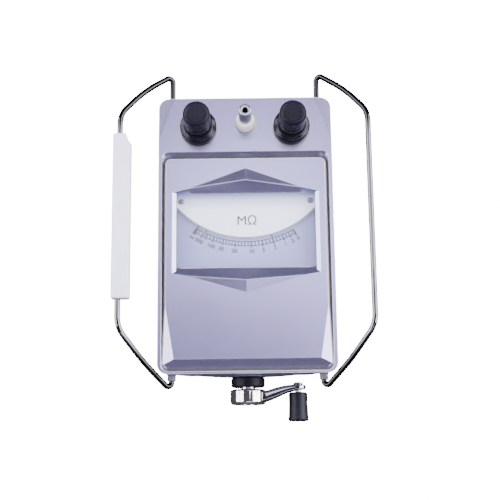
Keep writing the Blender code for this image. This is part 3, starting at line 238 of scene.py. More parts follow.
def surface(name, colour, roughness, metallic=0.0, mottle=0.08, mottle_scale=45.0, grain_scale=2500.0,
            grain=0.06, grain_depth=0.02, stretch=(1.0, 1.0, 1.0), wear=None, **constants):
    """A finish with slow colour variation, fine roughness and relief, and paler or darker edges.

    roughness is (low, high), and wear is the colour that shows on edges."""
    made, tree, shader = new_material(name)
    slow = noise(tree, mottle_scale, 4.0, stretch)
    fine = noise(tree, grain_scale, 2.0, stretch)
    tone = mottled(tree, slow, colour, 1.0 - mottle, 1.0 + mottle)
    if wear:
        patches = spread(tree, noise(tree, mottle_scale * 6.0, 5.0), 0.1, 0.9)
        rubbed = maths(tree, "MULTIPLY", edge_mask(tree, WEAR_RADIUS), patches)
        tone = mix(tree, rubbed, tone, wear)
    both = maths(tree, "ADD", slow, fine)
    set_inputs(tree, shader, Base_Color=tone, Roughness=spread(tree, both, *roughness, 0.7, 1.3),
               Metallic=metallic, Normal=bump(tree, fine, grain, grain_depth), **constants)
    return made


LILAC = (0.345, 0.31, 0.55)
# Painted shade: the lacquer turns to this grey in its recesses, where walls stand within the reach
# below.
PAINTED_RECESS_SHADE = (0.40, 0.39, 0.39)
SHADE_REACH = 4.5                 # how close walls stand round a recess, in mm
# Painted highlight: the lacquer's outer edges turn to this pale tone, within the radius below.
PAINTED_EDGE_HIGHLIGHT = (0.84, 0.83, 0.98)
EDGE_HIGHLIGHT_RADIUS = 0.9


def paint_material(name, colour):
    """Lilac metallic lacquer: fine flakes and an orange-peel clear coat, with painted grey shade in
    its recesses and painted highlights on its edges.
    """
    made, tree, shader = new_material(name)
    slow = noise(tree, 30.0, 4.0)
    flakes = noise(tree, 5200.0, 1.0)
    tone = mottled(tree, slow, colour, 0.95, 1.04)
    bright = tuple(min(1.0, c * 1.22) for c in colour)
    tone = mix(tree, spread(tree, flakes, 0.0, 0.55, 0.52, 0.75), tone, bright)
    # Painted shade: grey where walls stand close round the lacquer, from ambient occlusion.
    occlusion = add_node(tree, "ShaderNodeAmbientOcclusion", Distance=SHADE_REACH * MM)
    occlusion.samples = 6
    openness = occlusion.outputs["AO"]
    tone = mix(tree, spread(tree, openness, 0.0, 1.0, 0.40, 0.90), PAINTED_RECESS_SHADE, tone)
    # Painted highlight on outer edges, kept out of recesses: pale, and less metallic so the matt fill
    # lights them.
    edges = maths(tree, "MULTIPLY", edge_mask(tree, EDGE_HIGHLIGHT_RADIUS, 9.0),
                  spread(tree, openness, 0.0, 1.0, 0.80, 0.95))
    tone = mix(tree, spread(tree, edges, 0.0, 0.9, 0.0, 1.0), tone, PAINTED_EDGE_HIGHLIGHT)
    peel = maths(tree, "ADD", noise(tree, 420.0, 2.0), spread(tree, flakes, 0.0, 0.5))
    set_inputs(tree, shader, Base_Color=tone, Metallic=spread(tree, edges, 0.94, 0.25, 0.0, 1.0),
               Roughness=spread(tree, flakes, 0.25, 0.33), Coat_Weight=0.35, Coat_Roughness=0.12,
               Normal=bump(tree, peel, 0.05, 0.05))
    return made


def chrome_material(name, colour=(0.80, 0.80, 0.82), end_shade=None):
    """Chrome with faint polishing lines and finger marks. A given end colour takes over far out along
    Y: painted shade, for darker reflections there.
    """
    made, tree, shader = new_material(name)
    marks = noise(tree, 110.0, 5.0)
    lines = noise(tree, 900.0, 2.0, (1.0, 0.05, 1.0))
    tone = mottled(tree, marks, colour, 0.92, 1.08)
    if end_shade:
        reach = maths(tree, "ABSOLUTE", own_y(tree))
        tone = mix(tree, spread(tree, reach, 0.0, 1.0, 66.0 * MM, 80.0 * MM), tone, end_shade)
    set_inputs(tree, shader, Base_Color=tone, Roughness=spread(tree, marks, 0.035, 0.10),
               Metallic=1.0, Normal=bump(tree, lines, 0.03, 0.01))
    return made


def dial_material(name):
    """Printed scale plate: pale blue at the middle, deeper at the sides and below."""
    made, tree, shader = new_material(name)
    centre = ORIGIN + Vector((0.0, 18.0 * MM, DIAL_Z * MM))
    mapping = add_node(tree, "ShaderNodeMapping", Vector=own_place(tree), Location=centre,
                       Scale=(62.0 * MM, 52.0 * MM, 1.0))
    mapping.vector_type = "TEXTURE"
    ball = add_node(tree, "ShaderNodeTexGradient", Vector=mapping.outputs["Vector"])
    ball.gradient_type = "QUADRATIC_SPHERE"
    fibre = noise(tree, 2600.0, 3.0)
    tone = mix(tree, spread(tree, ball.outputs["Fac"], 0.0, 1.0, 0.0, 0.5), (0.145, 0.145, 0.43),
               (0.31, 0.31, 0.68))
    tone = mix(tree, spread(tree, fibre, 0.0, 0.10), tone, (0.86, 0.88, 0.95))
    set_inputs(tree, shader, Base_Color=tone, Roughness=spread(tree, fibre, 0.38, 0.5),
               Normal=bump(tree, fibre, 0.05, 0.01))
    return made


def card_material(name):
    """White card with a paper grain, bluer and darker where the hood shades its far edge."""
    made, tree, shader = new_material(name)
    fibre = noise(tree, 3000.0, 3.0)
    shade_start, shade_end = ORIGIN.y + 17.0 * MM, ORIGIN.y + 26.0 * MM
    shade = spread(tree, own_y(tree), 0.0, 1.0, shade_start, shade_end)
    tone = mix(tree, shade, (0.80, 0.83, 1.0), (0.38, 0.40, 0.70))
    tone = mix(tree, spread(tree, fibre, 0.0, 0.08), tone, (0.80, 0.81, 0.88))
    set_inputs(tree, shader, Base_Color=tone, Roughness=spread(tree, fibre, 0.42, 0.55),
               Normal=bump(tree, fibre, 0.05, 0.01))
    return made


def glass_material(name):
    """Clear moulded window: see-through, with a faint haze and a soft reflection."""
    made, tree, shader = new_material(name)
    haze = noise(tree, 60.0, 4.0)
    tone = mix(tree, spread(tree, haze, 0.0, 1.0), (0.86, 0.90, 1.0), (0.95, 0.97, 1.0))
    set_inputs(tree, shader, Base_Color=tone, Roughness=spread(tree, haze, 0.03, 0.07),
               Alpha=0.05, IOR=1.49)
    made.surface_render_method = "BLENDED"
    return made


materials = {
    "painted_die_casting": paint_material("lilac_lacquer", LILAC),
    "chrome_plate": chrome_material("bright_chrome"),
    "plated_steel": surface("nickel_plate", (0.66, 0.65, 0.63), (0.16, 0.30), 1.0, grain_scale=1800.0,
                            wear=(0.80, 0.79, 0.77)),
    "gear_steel": surface("turned_steel", (0.46, 0.47, 0.49), (0.25, 0.42), 1.0, stretch=(1, 0.1, 1)),
    "brass": surface("turned_brass", (0.70, 0.50, 0.20), (0.22, 0.40), 1.0, wear=(0.86, 0.68, 0.36)),
    "casting": surface("raw_casting", (0.44, 0.44, 0.46), (0.45, 0.65), 1.0, grain=0.3,
                       grain_scale=900.0, grain_depth=0.08),
    "core_iron": surface("soft_iron", (0.15, 0.15, 0.16), (0.45, 0.60), 1.0, grain=0.15),
    "magnet": surface("sintered_magnet", (0.05, 0.05, 0.055), (0.55, 0.70), grain=0.2),
    "winding": surface("enamelled_wire", (0.50, 0.17, 0.06), (0.25, 0.40), 0.8, grain=0.6,
                       grain_scale=1600.0, grain_depth=0.1, stretch=(0.2, 1.0, 0.2)),
    "gloss_black": surface("black_moulding", (0.005, 0.005, 0.009), (0.10, 0.20), mottle=0.3,
                           wear=(0.010, 0.010, 0.016), Specular_IOR_Level=0.22),
    "rubber": surface("foot_rubber", (0.022, 0.022, 0.023), (0.65, 0.85), grain=0.4,
                      grain_scale=1400.0, grain_depth=0.06),
    "nylon": surface("nylon_bush", (0.10, 0.10, 0.13), (0.30, 0.45)),
    "white_plastic": surface("white_sleeve", (0.78, 0.78, 0.98), (0.34, 0.46), mottle=0.03,
                             grain_scale=700.0, grain=0.05, grain_depth=0.04,
                             Subsurface_Weight=0.08, Subsurface_Scale=0.002),
    "porcelain": surface("glazed_insulator", (0.84, 0.84, 0.82), (0.10, 0.22), mottle=0.03,
                         Coat_Weight=0.4),
    "clear_window": glass_material("clear_window"),
    "dial_print": dial_material("scale_plate"),
    "dial_mask": card_material("white_card"),
    "fibreglass": surface("green_laminate", (0.05, 0.22, 0.08), (0.30, 0.45), mottle=0.2,
                          mottle_scale=300.0),
    "sleeve": surface("shrink_sleeve", (0.04, 0.06, 0.22), (0.25, 0.35), mottle=0.1),
}
for row in frame["record"]["subparts"]:
    node = frame["nodes"][row["node"]]
    node.data.materials.clear()
    node.data.materials.append(materials[row["material_slot"]])

# Chrome darkened for the handle wires, and darker still at their ends: painted shade for the dark
# surroundings they reflect.
SHADED_HANDLE_CHROME = chrome_material("shaded_handle_chrome", (0.13, 0.13, 0.145), (0.032, 0.032, 0.036))
# Chrome darkened for the crank arm and pin: painted shade.
SHADED_ARM_CHROME = chrome_material("shaded_arm_chrome", (0.32, 0.32, 0.34))
MATTE_BLACK = surface("textured_black", (0.0045, 0.004, 0.010), (0.36, 0.50), mottle=0.25, grain=0.35,
                      grain_scale=1500.0, grain_depth=0.05, wear=(0.016, 0.016, 0.028),
                      Specular_IOR_Level=0.17)
INK = surface("printing_ink", (0.006, 0.006, 0.03), (0.5, 0.65), mottle=0.3, Specular_IOR_Level=0.2)
GREY_INK = surface("grey_ink", (0.10, 0.11, 0.20), (0.45, 0.6), mottle=0.15)
# The guard socket's nickel plate, at half the brightness of the plated steel with the same roughness:
# painted shade.
SHADED_NICKEL = surface("shaded_nickel", (0.34, 0.34, 0.36), (0.16, 0.28), 1.0, grain_scale=1800.0,
                      wear=(0.5, 0.5, 0.5))
# The dial screws: a dark bluish metal, darker than the plated steel they are in the CAD.
DARK_SCREW = surface("dark_screw_metal", (0.12, 0.12, 0.17), (0.28, 0.42), 1.0, wear=(0.3, 0.3, 0.36))


# ---------------------------------------------------------------- making and adding pieces

def placed(name, bm):
    """Moves a mesh made in mm into the frame, as a smooth object."""
    bmesh.ops.recalc_face_normals(bm, faces=bm.faces)
    bmesh.ops.scale(bm, vec=(MM, MM, MM), verts=bm.verts)
    bmesh.ops.translate(bm, vec=ORIGIN, verts=bm.verts)
    mesh = bpy.data.meshes.new(name)
    bm.to_mesh(mesh)
    bm.free()
    mesh.shade_smooth()
    made = bpy.data.objects.new(name, mesh)
    bpy.context.scene.collection.objects.link(made)
    return made


def add_piece(name, bm, slot, body, stands_for=(), look=None, bevel=0.0, segments=3, angle=28.0):
    """Adds a piece that rides on its CAD body, in its slot's material or in another look."""
    piece = placed(name, bm)
    mesh = piece.data
    mesh.materials.append(look or materials[slot])
    if bevel:
        rounding = piece.modifiers.new("rounding", "BEVEL")
        rounding.width = bevel * MM
        rounding.segments = segments
        rounding.limit_method = "WEIGHT" if "bevel_weight_edge" in mesh.attributes else "ANGLE"
        rounding.angle_limit = radians(angle)
        rounding.harden_normals = True
    else:
        mesh.set_sharp_from_angle(angle=radians(angle))
    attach(piece, body)
    if stands_for:
        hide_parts(*stands_for)
    return piece


def reshape(piece, changes):
    """Bakes a piece's modifiers, and then booleans: each an operation and a mesh made in mm."""
    tools = []
    for operation, bm in changes:
        tools.append(placed("cutter", bm))
        change = piece.modifiers.new(operation.lower(), "BOOLEAN")
        change.operation = operation
        change.solver = "EXACT"
        change.object = tools[-1]
    bpy.context.view_layer.update()
    depsgraph = bpy.context.evaluated_depsgraph_get()
    done = bpy.data.meshes.new_from_object(piece.evaluated_get(depsgraph))
    piece.modifiers.clear()
    piece.data = done
    for tool in tools:
        bpy.data.objects.remove(tool)


def bent(profile, steps=6):
    """Rounds the corners of an open line of (a, b, radius) points. Both ends stay, and so does a
    corner with no radius."""
    points = []
    for i, (a, b, radius) in enumerate(profile):
        corner = Vector((a, b))
        if i in (0, len(profile) - 1) or radius == 0:
            points.append(corner)
            continue
        before = Vector(profile[i - 1][:2]) - corner
        after = Vector(profile[i + 1][:2]) - corner
        span = min(radius, before.length * 0.45, after.length * 0.45)
        start = corner + before.normalized() * span
        end = corner + after.normalized() * span
        for k in range(steps + 1):
            t = k / steps
            points.append(start * (1 - t) ** 2 + corner * 2 * t * (1 - t) + end * t ** 2)
    return points


def lathe(profile, steps=64, centre=(0.0, 0.0, 0.0), along_y=False, closed=False):
    """Turns (radius, height) points about Z, or about Y, through centre."""
    bm = bmesh.new()
    rings = []
    for r, h in profile:
        if r < 1e-6:
            rings.append([bm.verts.new((0.0, 0.0, h))])
        else:
            rings.append([bm.verts.new((r * cos(2 * pi * i / steps), r * sin(2 * pi * i / steps), h))
                          for i in range(steps)])
    pairs = list(zip(rings, rings[1:]))
    if closed:
        pairs.append((rings[-1], rings[0]))
    for first, second in pairs:
        for i in range(steps):
            j = (i + 1) % steps
            corners = [first[i % len(first)], first[j % len(first)],
                       second[j % len(second)], second[i % len(second)]]
            unique = list(dict.fromkeys(corners))
            if len(unique) > 2:
                bm.faces.new(unique)
    if along_y:
        bmesh.ops.rotate(bm, matrix=Matrix.Rotation(radians(-90.0), 3, "X"), verts=bm.verts)
    bmesh.ops.translate(bm, vec=centre, verts=bm.verts)
    return bm


def loft(rings):
    """A capped skin over closed rings of points that all have the same count."""
    bm = bmesh.new()
    made = [[bm.verts.new(p) for p in ring] for ring in rings]
    for first, second in zip(made, made[1:]):
        for i in range(len(first)):
            j = (i + 1) % len(first)
            bm.faces.new((first[i], first[j], second[j], second[i]))
    bm.faces.new(list(reversed(made[0])))
    bm.faces.new(made[-1])
    return bm


def prism(bm, outline, low, high):
    """Adds a flat-topped solid over a closed outline of (x, y) points."""
    bottom = [bm.verts.new((x, y, low)) for x, y in outline]
    top = [bm.verts.new((x, y, high)) for x, y in outline]
    for i in range(len(outline)):
        j = (i + 1) % len(outline)
        bm.faces.new((bottom[i], bottom[j], top[j], top[i]))
    bm.faces.new(list(reversed(bottom)))
    bm.faces.new(top)


def arc(centre, radius, start, end, steps):
    angles = [radians(start + (end - start) * i / steps) for i in range(steps + 1)]
    return [(centre[0] + radius * cos(a), centre[1] + radius * sin(a)) for a in angles]


def lettering(bm, text, size, thickness, move, bold=0.0):
    """Adds raised or printed characters, centred on the origin before they are moved. Bold ones are
    drawn again a little to each side."""
    curve = bpy.data.curves.new("lettering", "FONT")
    curve.body = text
    curve.size = size
    curve.extrude = thickness / 2
    curve.align_x = "CENTER"
    curve.align_y = "CENTER"
    curve.resolution_u = 5
    holder = bpy.data.objects.new("lettering", curve)
    bpy.context.scene.collection.objects.link(holder)
    bpy.context.view_layer.update()
    depsgraph = bpy.context.evaluated_depsgraph_get()
    solid = bpy.data.meshes.new_from_object(holder.evaluated_get(depsgraph))
    bpy.data.objects.remove(holder)
    shifts = ((0, 0), (bold, 0), (-bold, 0), (0, bold), (0, -bold)) if bold else ((0, 0),)
    for across, up in shifts:
        copy = solid.copy()
        copy.transform(move @ Matrix.Translation((across, up, 0.0)))
        bm.from_mesh(copy)
        bpy.data.meshes.remove(copy)
    bpy.data.meshes.remove(solid)
    bmesh.ops.remove_doubles(bm, verts=bm.verts, dist=0.0005)


# ---------------------------------------------------------------- case and cover

class Halves:
    """A mesh that is the same on both sides of x = 0. Each ring is given as its right-hand half,
    from its near middle to its far middle."""

    def __init__(self):
        self.bm = bmesh.new()

    def ring(self, half):
        right = [self.bm.verts.new(p) for p in half]
        left = [self.bm.verts.new((-x, y, z)) for x, y, z in half[1:-1]]
        return right, [right[0], *left, right[-1]]

    def strip(self, first, second, start=0, end=None):
        for a, b in zip(first, second):
            stop = len(a) - 1 if end is None else end
            for i in range(start, stop):
                self.bm.faces.new((a[i], a[i + 1], b[i + 1], b[i]))

    def sheet(self, first, second):
        for a, b in zip(first, second):
            self.bm.faces.new([*a, *reversed(b)])


def half_width(z):
    return RIM_X - (RIM_Z - z) * tan(radians(DRAFT))


def half_length(z):
    return RIM_Y - (RIM_Z - z) * tan(radians(DRAFT))


def rounded_half(x, near_y, far_y, radius, z, steps=9):
    """The right-hand half of a rounded rectangle at height z."""
    flat = [(0.0, near_y)]
    flat += arc((x - radius, near_y + radius), radius, -90, 0, steps)
    flat += arc((x - radius, far_y - radius), radius, 0, 90, steps)
    flat += [(0.0, far_y)]
    return [(px, py, z) for px, py in flat]


def weigh_edges(bm, width, rules, sharp=18.0, crease=4.0):
    """Gives each sharp edge, and each crease between two upward faces, a bevel: its width in mm
    comes from the first rule that fits it, and weights are kept as shares of the widest."""
    layer = bm.edges.layers.float.new("bevel_weight_edge")
    bmesh.ops.recalc_face_normals(bm, faces=bm.faces)
    for edge in bm.edges:
        upward = min((face.normal.z for face in edge.link_faces), default=0.0) > 0.85
        limit = radians(crease if upward else sharp)
        if len(edge.link_faces) == 2 and edge.calc_face_angle(0.0) > limit:
            middle = (edge.verts[0].co + edge.verts[1].co) / 2
            edge[layer] = next(size for fits, size in rules if fits(middle)) / width


CREASE_SIDE_Y = 66.0       # where the deck's faint corner facets start on the side and at the back
CREASE_BACK_X = 49.0
CREASE_DROP = 0.12         # fall of a corner facet, in mm per mm


def deck_outline(z, lowered):
    """Half of the cover's outline, with the ends of the corner facet's crease as extra points."""
    x, y = half_width(z), half_length(z)
    points = rounded_half(x, -y, y, CORNER_RADIUS, z)
    corner = len(points) // 2 + 1
    points[corner - 1:corner - 1] = [(x, FACET_START_Y, z), (x, CREASE_SIDE_Y, z)]
    points.insert(len(points) - 1, (CREASE_BACK_X, y, z))
    if lowered:
        along = Vector((CREASE_BACK_X - x, y - CREASE_SIDE_Y))
        outward = Vector((along.y, -along.x)).normalized()
        for i in range(corner + 1, len(points) - 2):
            px, py, pz = points[i]
            fall = outward.dot(Vector((px - x, py - CREASE_SIDE_Y))) * CREASE_DROP
            points[i] = (px, py, pz - fall)
    return points, corner


def make_cover():
    shape = Halves()
    low_points, corner = deck_outline(SEAM_Z, False)
    rim_points, _ = deck_outline(RIM_Z, True)
    skirt = shape.ring(low_points)
    rim = shape.ring(rim_points)
    shape.strip(skirt, rim)

    lip_points = rounded_half(TRAY_X, TRAY_NEAR_Y, TRAY_FAR_Y, TRAY_RADIUS, RIM_Z)
    lip_points.insert(corner - 1, (TRAY_X, FACET_START_Y, RIM_Z))
    lip = shape.ring(lip_points)
    shape.strip(rim, lip, 0, corner)
    for outer, inner in zip(rim, lip):
        shape.bm.faces.new([outer[corner], *outer[-2:], *reversed(inner[corner:])])
        shape.bm.faces.new(outer[corner:-1])
    near_end = []
    for x, y, z in rounded_half(TRAY_END_X, TRAY_FOOT_NEAR_Y, TRAY_FAR_Y, TRAY_RADIUS, TRAY_Z):
        rise = min(1.0, max(0.0, (x - SLOPE_X) / (TRAY_END_X - SLOPE_X)))
        near_end.append((x, y, z + rise * (TRAY_NEAR_Z - z)))
    far_end = rounded_half(TRAY_FOOT_X, TRAY_NEAR_Y, TRAY_FOOT_FAR_Y, TRAY_RADIUS, TRAY_Z)
    waist = (TRAY_FOOT_X, FACET_START_Y, TRAY_Z)
    floor = shape.ring([*near_end[:corner - 1], waist, *far_end[corner - 1:]])
    shape.strip(lip, floor)

    arc_centre = (PANEL_X - PANEL_RADIUS, PANEL_FAR_Y - PANEL_RADIUS)
    far_arc = arc(arc_centre, PANEL_RADIUS, 0, 90, 8)
    top_points = [(0.0, NOSE_Y), (NOSE_X - 4.0, NOSE_Y), (NOSE_X, NOSE_Y), (PANEL_X, FACET_START_Y)]
    top = shape.ring([(x, y, PANEL_Z) for x, y in top_points + far_arc + [(0.0, PANEL_FAR_Y)]])
    flare = 0.45
    foot_arc = arc(arc_centre, PANEL_RADIUS + flare, 0, 90, 8)
    foot_points = [(0.0, TRAY_NEAR_Y + 0.6, TRAY_Z), (SLOPE_X, TRAY_NEAR_Y + 0.6, TRAY_Z),
                   (TRAY_CORNER_X, TRAY_CORNER_Y, TRAY_NEAR_Z)]
    foot_points += [(x, y, TRAY_Z) for x, y in (
        (PANEL_X + flare, FACET_START_Y), *foot_arc, (0.0, PANEL_FAR_Y + flare))]
    foot = shape.ring(foot_points)
    for outer, inner in zip(floor, foot):
        shape.bm.faces.new([*outer[:corner - 1], *reversed(inner[:3])])
        shape.bm.faces.new((outer[corner - 2], outer[corner - 1], inner[3], inner[2]))
        shape.bm.faces.new([*outer[corner - 1:], *reversed(inner[3:])])
    shape.strip(foot, top, 0, 2)
    for low, high in zip(foot, top):
        shape.bm.faces.new((low[2], low[3], high[3]))
        shape.bm.faces.new((low[2], high[3], high[2]))
    shape.strip(foot, top, 3)

    hood = shape.ring([
        (0.0, TIP_NEAR_Y, PANEL_Z),
        (FADE_X, -FADE_Y, PANEL_Z),
        (HOOD_X, HOOD_NEAR_Y, PANEL_Z),
        (HOOD_X, HOOD_FAR_Y, PANEL_Z),
        (FADE_X, FADE_Y, PANEL_Z),
        (0.0, TIP_FAR_Y, PANEL_Z),
    ])
    shape.sheet(top, hood)
    near_ridge = shape.bm.verts.new((0.0, RIDGE_NEAR_Y, RIDGE_Z))
    far_ridge = shape.bm.verts.new((0.0, RIDGE_FAR_Y, RIDGE_Z))
    mouth = [[near_ridge, *side[1:-1], far_ridge] for side in hood]
    for side in hood:
        shape.bm.faces.new((side[0], side[1], near_ridge))
        shape.bm.faces.new((side[-1], side[-2], far_ridge))

    chamfer_z = PANEL_Z - SIDE_CHAMFER
    drop = SIDE_CHAMFER / (PANEL_Z - LEDGE_Z)
    near_drop = (RIDGE_Z - chamfer_z) / (RIDGE_Z - LEDGE_Z)
    corner_x = WINDOW_X + 0.15
    near_y = HOOD_NEAR_Y + drop * (WINDOW_NEAR_Y - HOOD_NEAR_Y)
    far_y = HOOD_FAR_Y + drop * (WINDOW_FAR_Y - HOOD_FAR_Y)
    chamfer = shape.ring([
        (0.0, RIDGE_NEAR_Y + near_drop * (WINDOW_NEAR_Y - RIDGE_NEAR_Y), chamfer_z),
        (FADE_X, -FADE_Y + drop * (WINDOW_NEAR_Y + FADE_Y), chamfer_z),
        (corner_x, near_y, chamfer_z),
        (corner_x, far_y, chamfer_z),
        (FADE_X, FADE_Y + drop * (WINDOW_FAR_Y - FADE_Y), chamfer_z),
        (0.0, RIDGE_FAR_Y + near_drop * (WINDOW_FAR_Y - RIDGE_FAR_Y), chamfer_z),
    ])
    shape.strip(mouth, chamfer)

    seats = []
    for x, near_y, far_y, z in (
        (WINDOW_X, WINDOW_NEAR_Y, WINDOW_FAR_Y, LEDGE_Z),
        (SEAT_X, SEAT_NEAR_Y, SEAT_FAR_Y, LEDGE_Z),
        (SEAT_X, SEAT_NEAR_Y, SEAT_FAR_Y, SEAM_Z),
    ):
        seats.append(shape.ring([(0.0, near_y, z), (FADE_X, near_y, z), (x, near_y, z),
                                 (x, far_y, z), (FADE_X, far_y, z), (0.0, far_y, z)]))
    shape.strip(chamfer, seats[0])
    shape.strip(seats[0], seats[1])
    shape.strip(seats[1], seats[2])
    shape.sheet(skirt, seats[2])

    widest = 1.5
    rules = [
        (lambda p: p.z < SEAM_Z + 0.1, 0.25),
        (lambda p: p.z > RIM_Z - 1.2 and (abs(p.x) > TRAY_X + 0.4 or abs(p.y) > 94.6), widest),
        (lambda p: abs(p.z - RIM_Z) < 0.1, 0.9),
        (lambda p: abs(p.x) < WINDOW_X + 0.5 and WINDOW_NEAR_Y - 0.5 < p.y < WINDOW_FAR_Y + 0.5
         and p.z < PANEL_Z - 0.5, 0.3),
        (lambda p: p.z > PANEL_Z - 0.1, 0.7),
        (lambda p: True, 0.5),
    ]
    weigh_edges(shape.bm, widest, rules)
    add_piece("cover", shape.bm, "painted_die_casting", "case", ["top_cover"], bevel=widest,
              segments=4)


def make_case():
    rings = []
    for z, inset in ((CASE_LOW_Z + 6.0, WALL), (CASE_TOP_Z, WALL), (CASE_TOP_Z, 0.0),
                     (CASE_LOW_Z + 1.6, 0.0), (CASE_LOW_Z, 1.5)):
        half = rounded_half(half_width(z) - inset, -half_length(z) + inset, half_length(z) - inset,
                            CORNER_RADIUS - inset, z, 14)
        rings.append(half + [(-x, y, z) for x, y, z in reversed(half[1:-1])])
    shell = loft(rings)
    case = add_piece("case_body", shell, "painted_die_casting", "case", ["lower_case"], bevel=0.5,
                     angle=30)
    axis = (CRANK_X, 0.0, CRANK_Z)
    boss_end = node_box("crank_collar")[1].y + 0.3
    flare = [(0.0, -88.0), (23.0, -88.0), (20.0, -90.8), (15.4, -92.5), (12.7, -93.0),
             (11.9, boss_end), (0.0, boss_end)]
    flare = bent([(r, y, 0.0 if r in (0.0, 23.0) else 1.2) for r, y in flare])
    spread_cone = [(0.0, -91.4), (FLARE_RADIUS, -91.4), (FLARE_TOP_RADIUS, -93.3), (0.0, -93.3)]
    changes = [("UNION", lathe(spread_cone, 128, axis, along_y=True)),
               ("UNION", lathe(flare, 96, axis, along_y=True))]
    post_low, post_high, hole_high = CASE_LOW_Z + 4, 109, 88
    for x, y in ((POST_X, POST_Y), (POST_X, -POST_Y), (-POST_X, POST_Y), (-POST_X, -POST_Y)):
        post = [(0, post_low), (6, post_low), (6, post_high), (0, post_high)]
        hole = [(0, 0), (3.8, 0), (3.8, hole_high), (0, hole_high)]
        changes.append(("UNION", lathe(post, 32, (x, y, 0))))
        changes.append(("DIFFERENCE", lathe(hole, 32, (x, y, 0))))
    reshape(case, changes)
    case.data.attributes.remove(case.data.attributes["custom_normal"])
    case.data.set_sharp_from_angle(angle=radians(32))


# ---------------------------------------------------------------- dial

def dial_point(radius, angle):
    """A point at an angle from straight down the dial, about the pointer's spindle."""
    return (PIVOT.x + radius * sin(radians(angle)), PIVOT.y - radius * cos(radians(angle)))


def bar_outline(angle, start, end, width, end_width=None):
    """A straight mark along a radius, which may narrow towards its end."""
    first, second = Vector(dial_point(start, angle)), Vector(dial_point(end, angle))
    across = (second - first).normalized().orthogonal()
    near, far = across * width / 2, across * (end_width or width) / 2
    return [tuple(p) for p in (first + near, second + far, second - far, first - near)]


def band_outline(radius, width, start, end, steps=60):
    angles = [start + (end - start) * i / steps for i in range(steps + 1)]
    inner = [dial_point(radius - width / 2, angle) for angle in angles]
    outer = [dial_point(radius + width / 2, angle) for angle in angles]
    return inner + outer[::-1]


SCALE_START, SCALE_END = -31.0, 28.8
SCALE_INNER, SCALE_OUTER = 66.6, 69.6
NUMBER_RADIUS = 73.6
ARC_WIDTH, TICK_WIDTH, MAJOR_WIDTH = 0.65, 0.75, 1.0
TICK_STEP = 1.9                    # about this many degrees between marks
SCALE_NUMBERS = (
    ("∞", -31.0), ("500", -26.6), ("", -23.8), ("100", -19.6), ("50", -13.9), ("20", -6.8),
    ("10", 2.6), ("5", 9.0), ("2", 15.4), ("1", 21.4), (".5", 25.4), ("0", 28.9),
)
NUMBER_SIZE, UNIT_SIZE = 3.9, 9.2
PRINT_DEPTH = 0.04
MASK_SWEEP = 49.6                  # the card's edge runs this far to each side


def make_dial_print():
    ink = bmesh.new()
    low, high = DIAL_Z + 0.01, DIAL_Z + PRINT_DEPTH
    for radius in (SCALE_INNER, SCALE_OUTER):
        prism(ink, band_outline(radius, ARC_WIDTH, SCALE_START, SCALE_END), low, high)
    for angle, width in ((SCALE_START, 2.2), (SCALE_END, 1.4)):
        bar = bar_outline(angle, SCALE_INNER - 0.3, SCALE_OUTER + 1.6, width)
        prism(ink, bar, low, high + 0.01)
    places = [angle for _, angle in SCALE_NUMBERS]
    for angle in places[1:-1]:
        prism(ink, bar_outline(angle, SCALE_INNER, SCALE_OUTER + 1.4, MAJOR_WIDTH), low, high + 0.02)
    for first, second in zip(places, places[1:]):
        count = max(2, round((second - first) / TICK_STEP))
        for i in range(1, count):
            angle = first + (second - first) * i / count
            prism(ink, bar_outline(angle, SCALE_INNER, SCALE_OUTER, TICK_WIDTH), low, high + 0.03)
    for angle in (-25.4, 15.4):        # two arrowheads
        head = SCALE_INNER - 2.0
        corners = [(SCALE_INNER - 0.2, angle), (head, angle - 0.8), (head, angle + 0.8)]
        prism(ink, [dial_point(*corner) for corner in corners], low, high + 0.04)
    for text, angle in (row for row in SCALE_NUMBERS if row[0]):
        x, y = dial_point(NUMBER_RADIUS, angle)
        turn = Matrix.Rotation(radians(angle), 4, "Z")
        move = Matrix.Translation((x, y, DIAL_Z + PRINT_DEPTH / 2)) @ turn
        lettering(ink, text, NUMBER_SIZE, PRINT_DEPTH - 0.01, move, 0.16)
    add_piece("scale_print", ink, "gloss_black", "case", look=INK)

    unit = bmesh.new()
    move = Matrix.Translation((0.6, 9.4, MASK_TOP_Z + PRINT_DEPTH / 2))
    lettering(unit, "MΩ", UNIT_SIZE, PRINT_DEPTH, move, 0.1)
    line_sweep = MASK_SWEEP - 0.6
    prism(unit, band_outline(MASK_RADIUS - 0.5, 0.8, -line_sweep, line_sweep), MASK_TOP_Z + 0.005,
          MASK_TOP_Z + PRINT_DEPTH)
    add_piece("mask_print", unit, "gloss_black", "case", look=GREY_INK)


def make_mask():
    """The white card over the scale, with its curved lower edge."""
    low, high = node_box("dial_mask")
    edge = [dial_point(MASK_RADIUS, MASK_SWEEP * (i / 45 - 1)) for i in range(91)]
    outline = [(max(low.x, min(high.x, x)), y) for x, y in edge]
    outline += [(high.x, high.y), (low.x, high.y)]
    bm = bmesh.new()
    prism(bm, outline, low.z, high.z)
    add_piece("mask_card", bm, "dial_mask", "case", ["dial_mask"], bevel=0.12, segments=2)


def make_pointer():
    """A flat arm that narrows to a thin tip, at the start of the scale."""
    tip_low, tip_high = node_box("pointer")
    bm = bmesh.new()
    z = (tip_low.z + tip_high.z) / 2
    for start, end, wide, narrow, tall in ((-9.0, 20.0, 3.2, 2.2, 0.4), (19.5, 64.0, 2.2, 0.9, 0.36),
                                           (63.5, 71.0, 0.9, 0.8, 0.5)):
        prism(bm, bar_outline(SCALE_START, start, end, wide, narrow), z - tall / 2, z + tall / 2)
    add_piece("pointer_blade", bm, "gloss_black", "meter", ["pointer"], MATTE_BLACK)


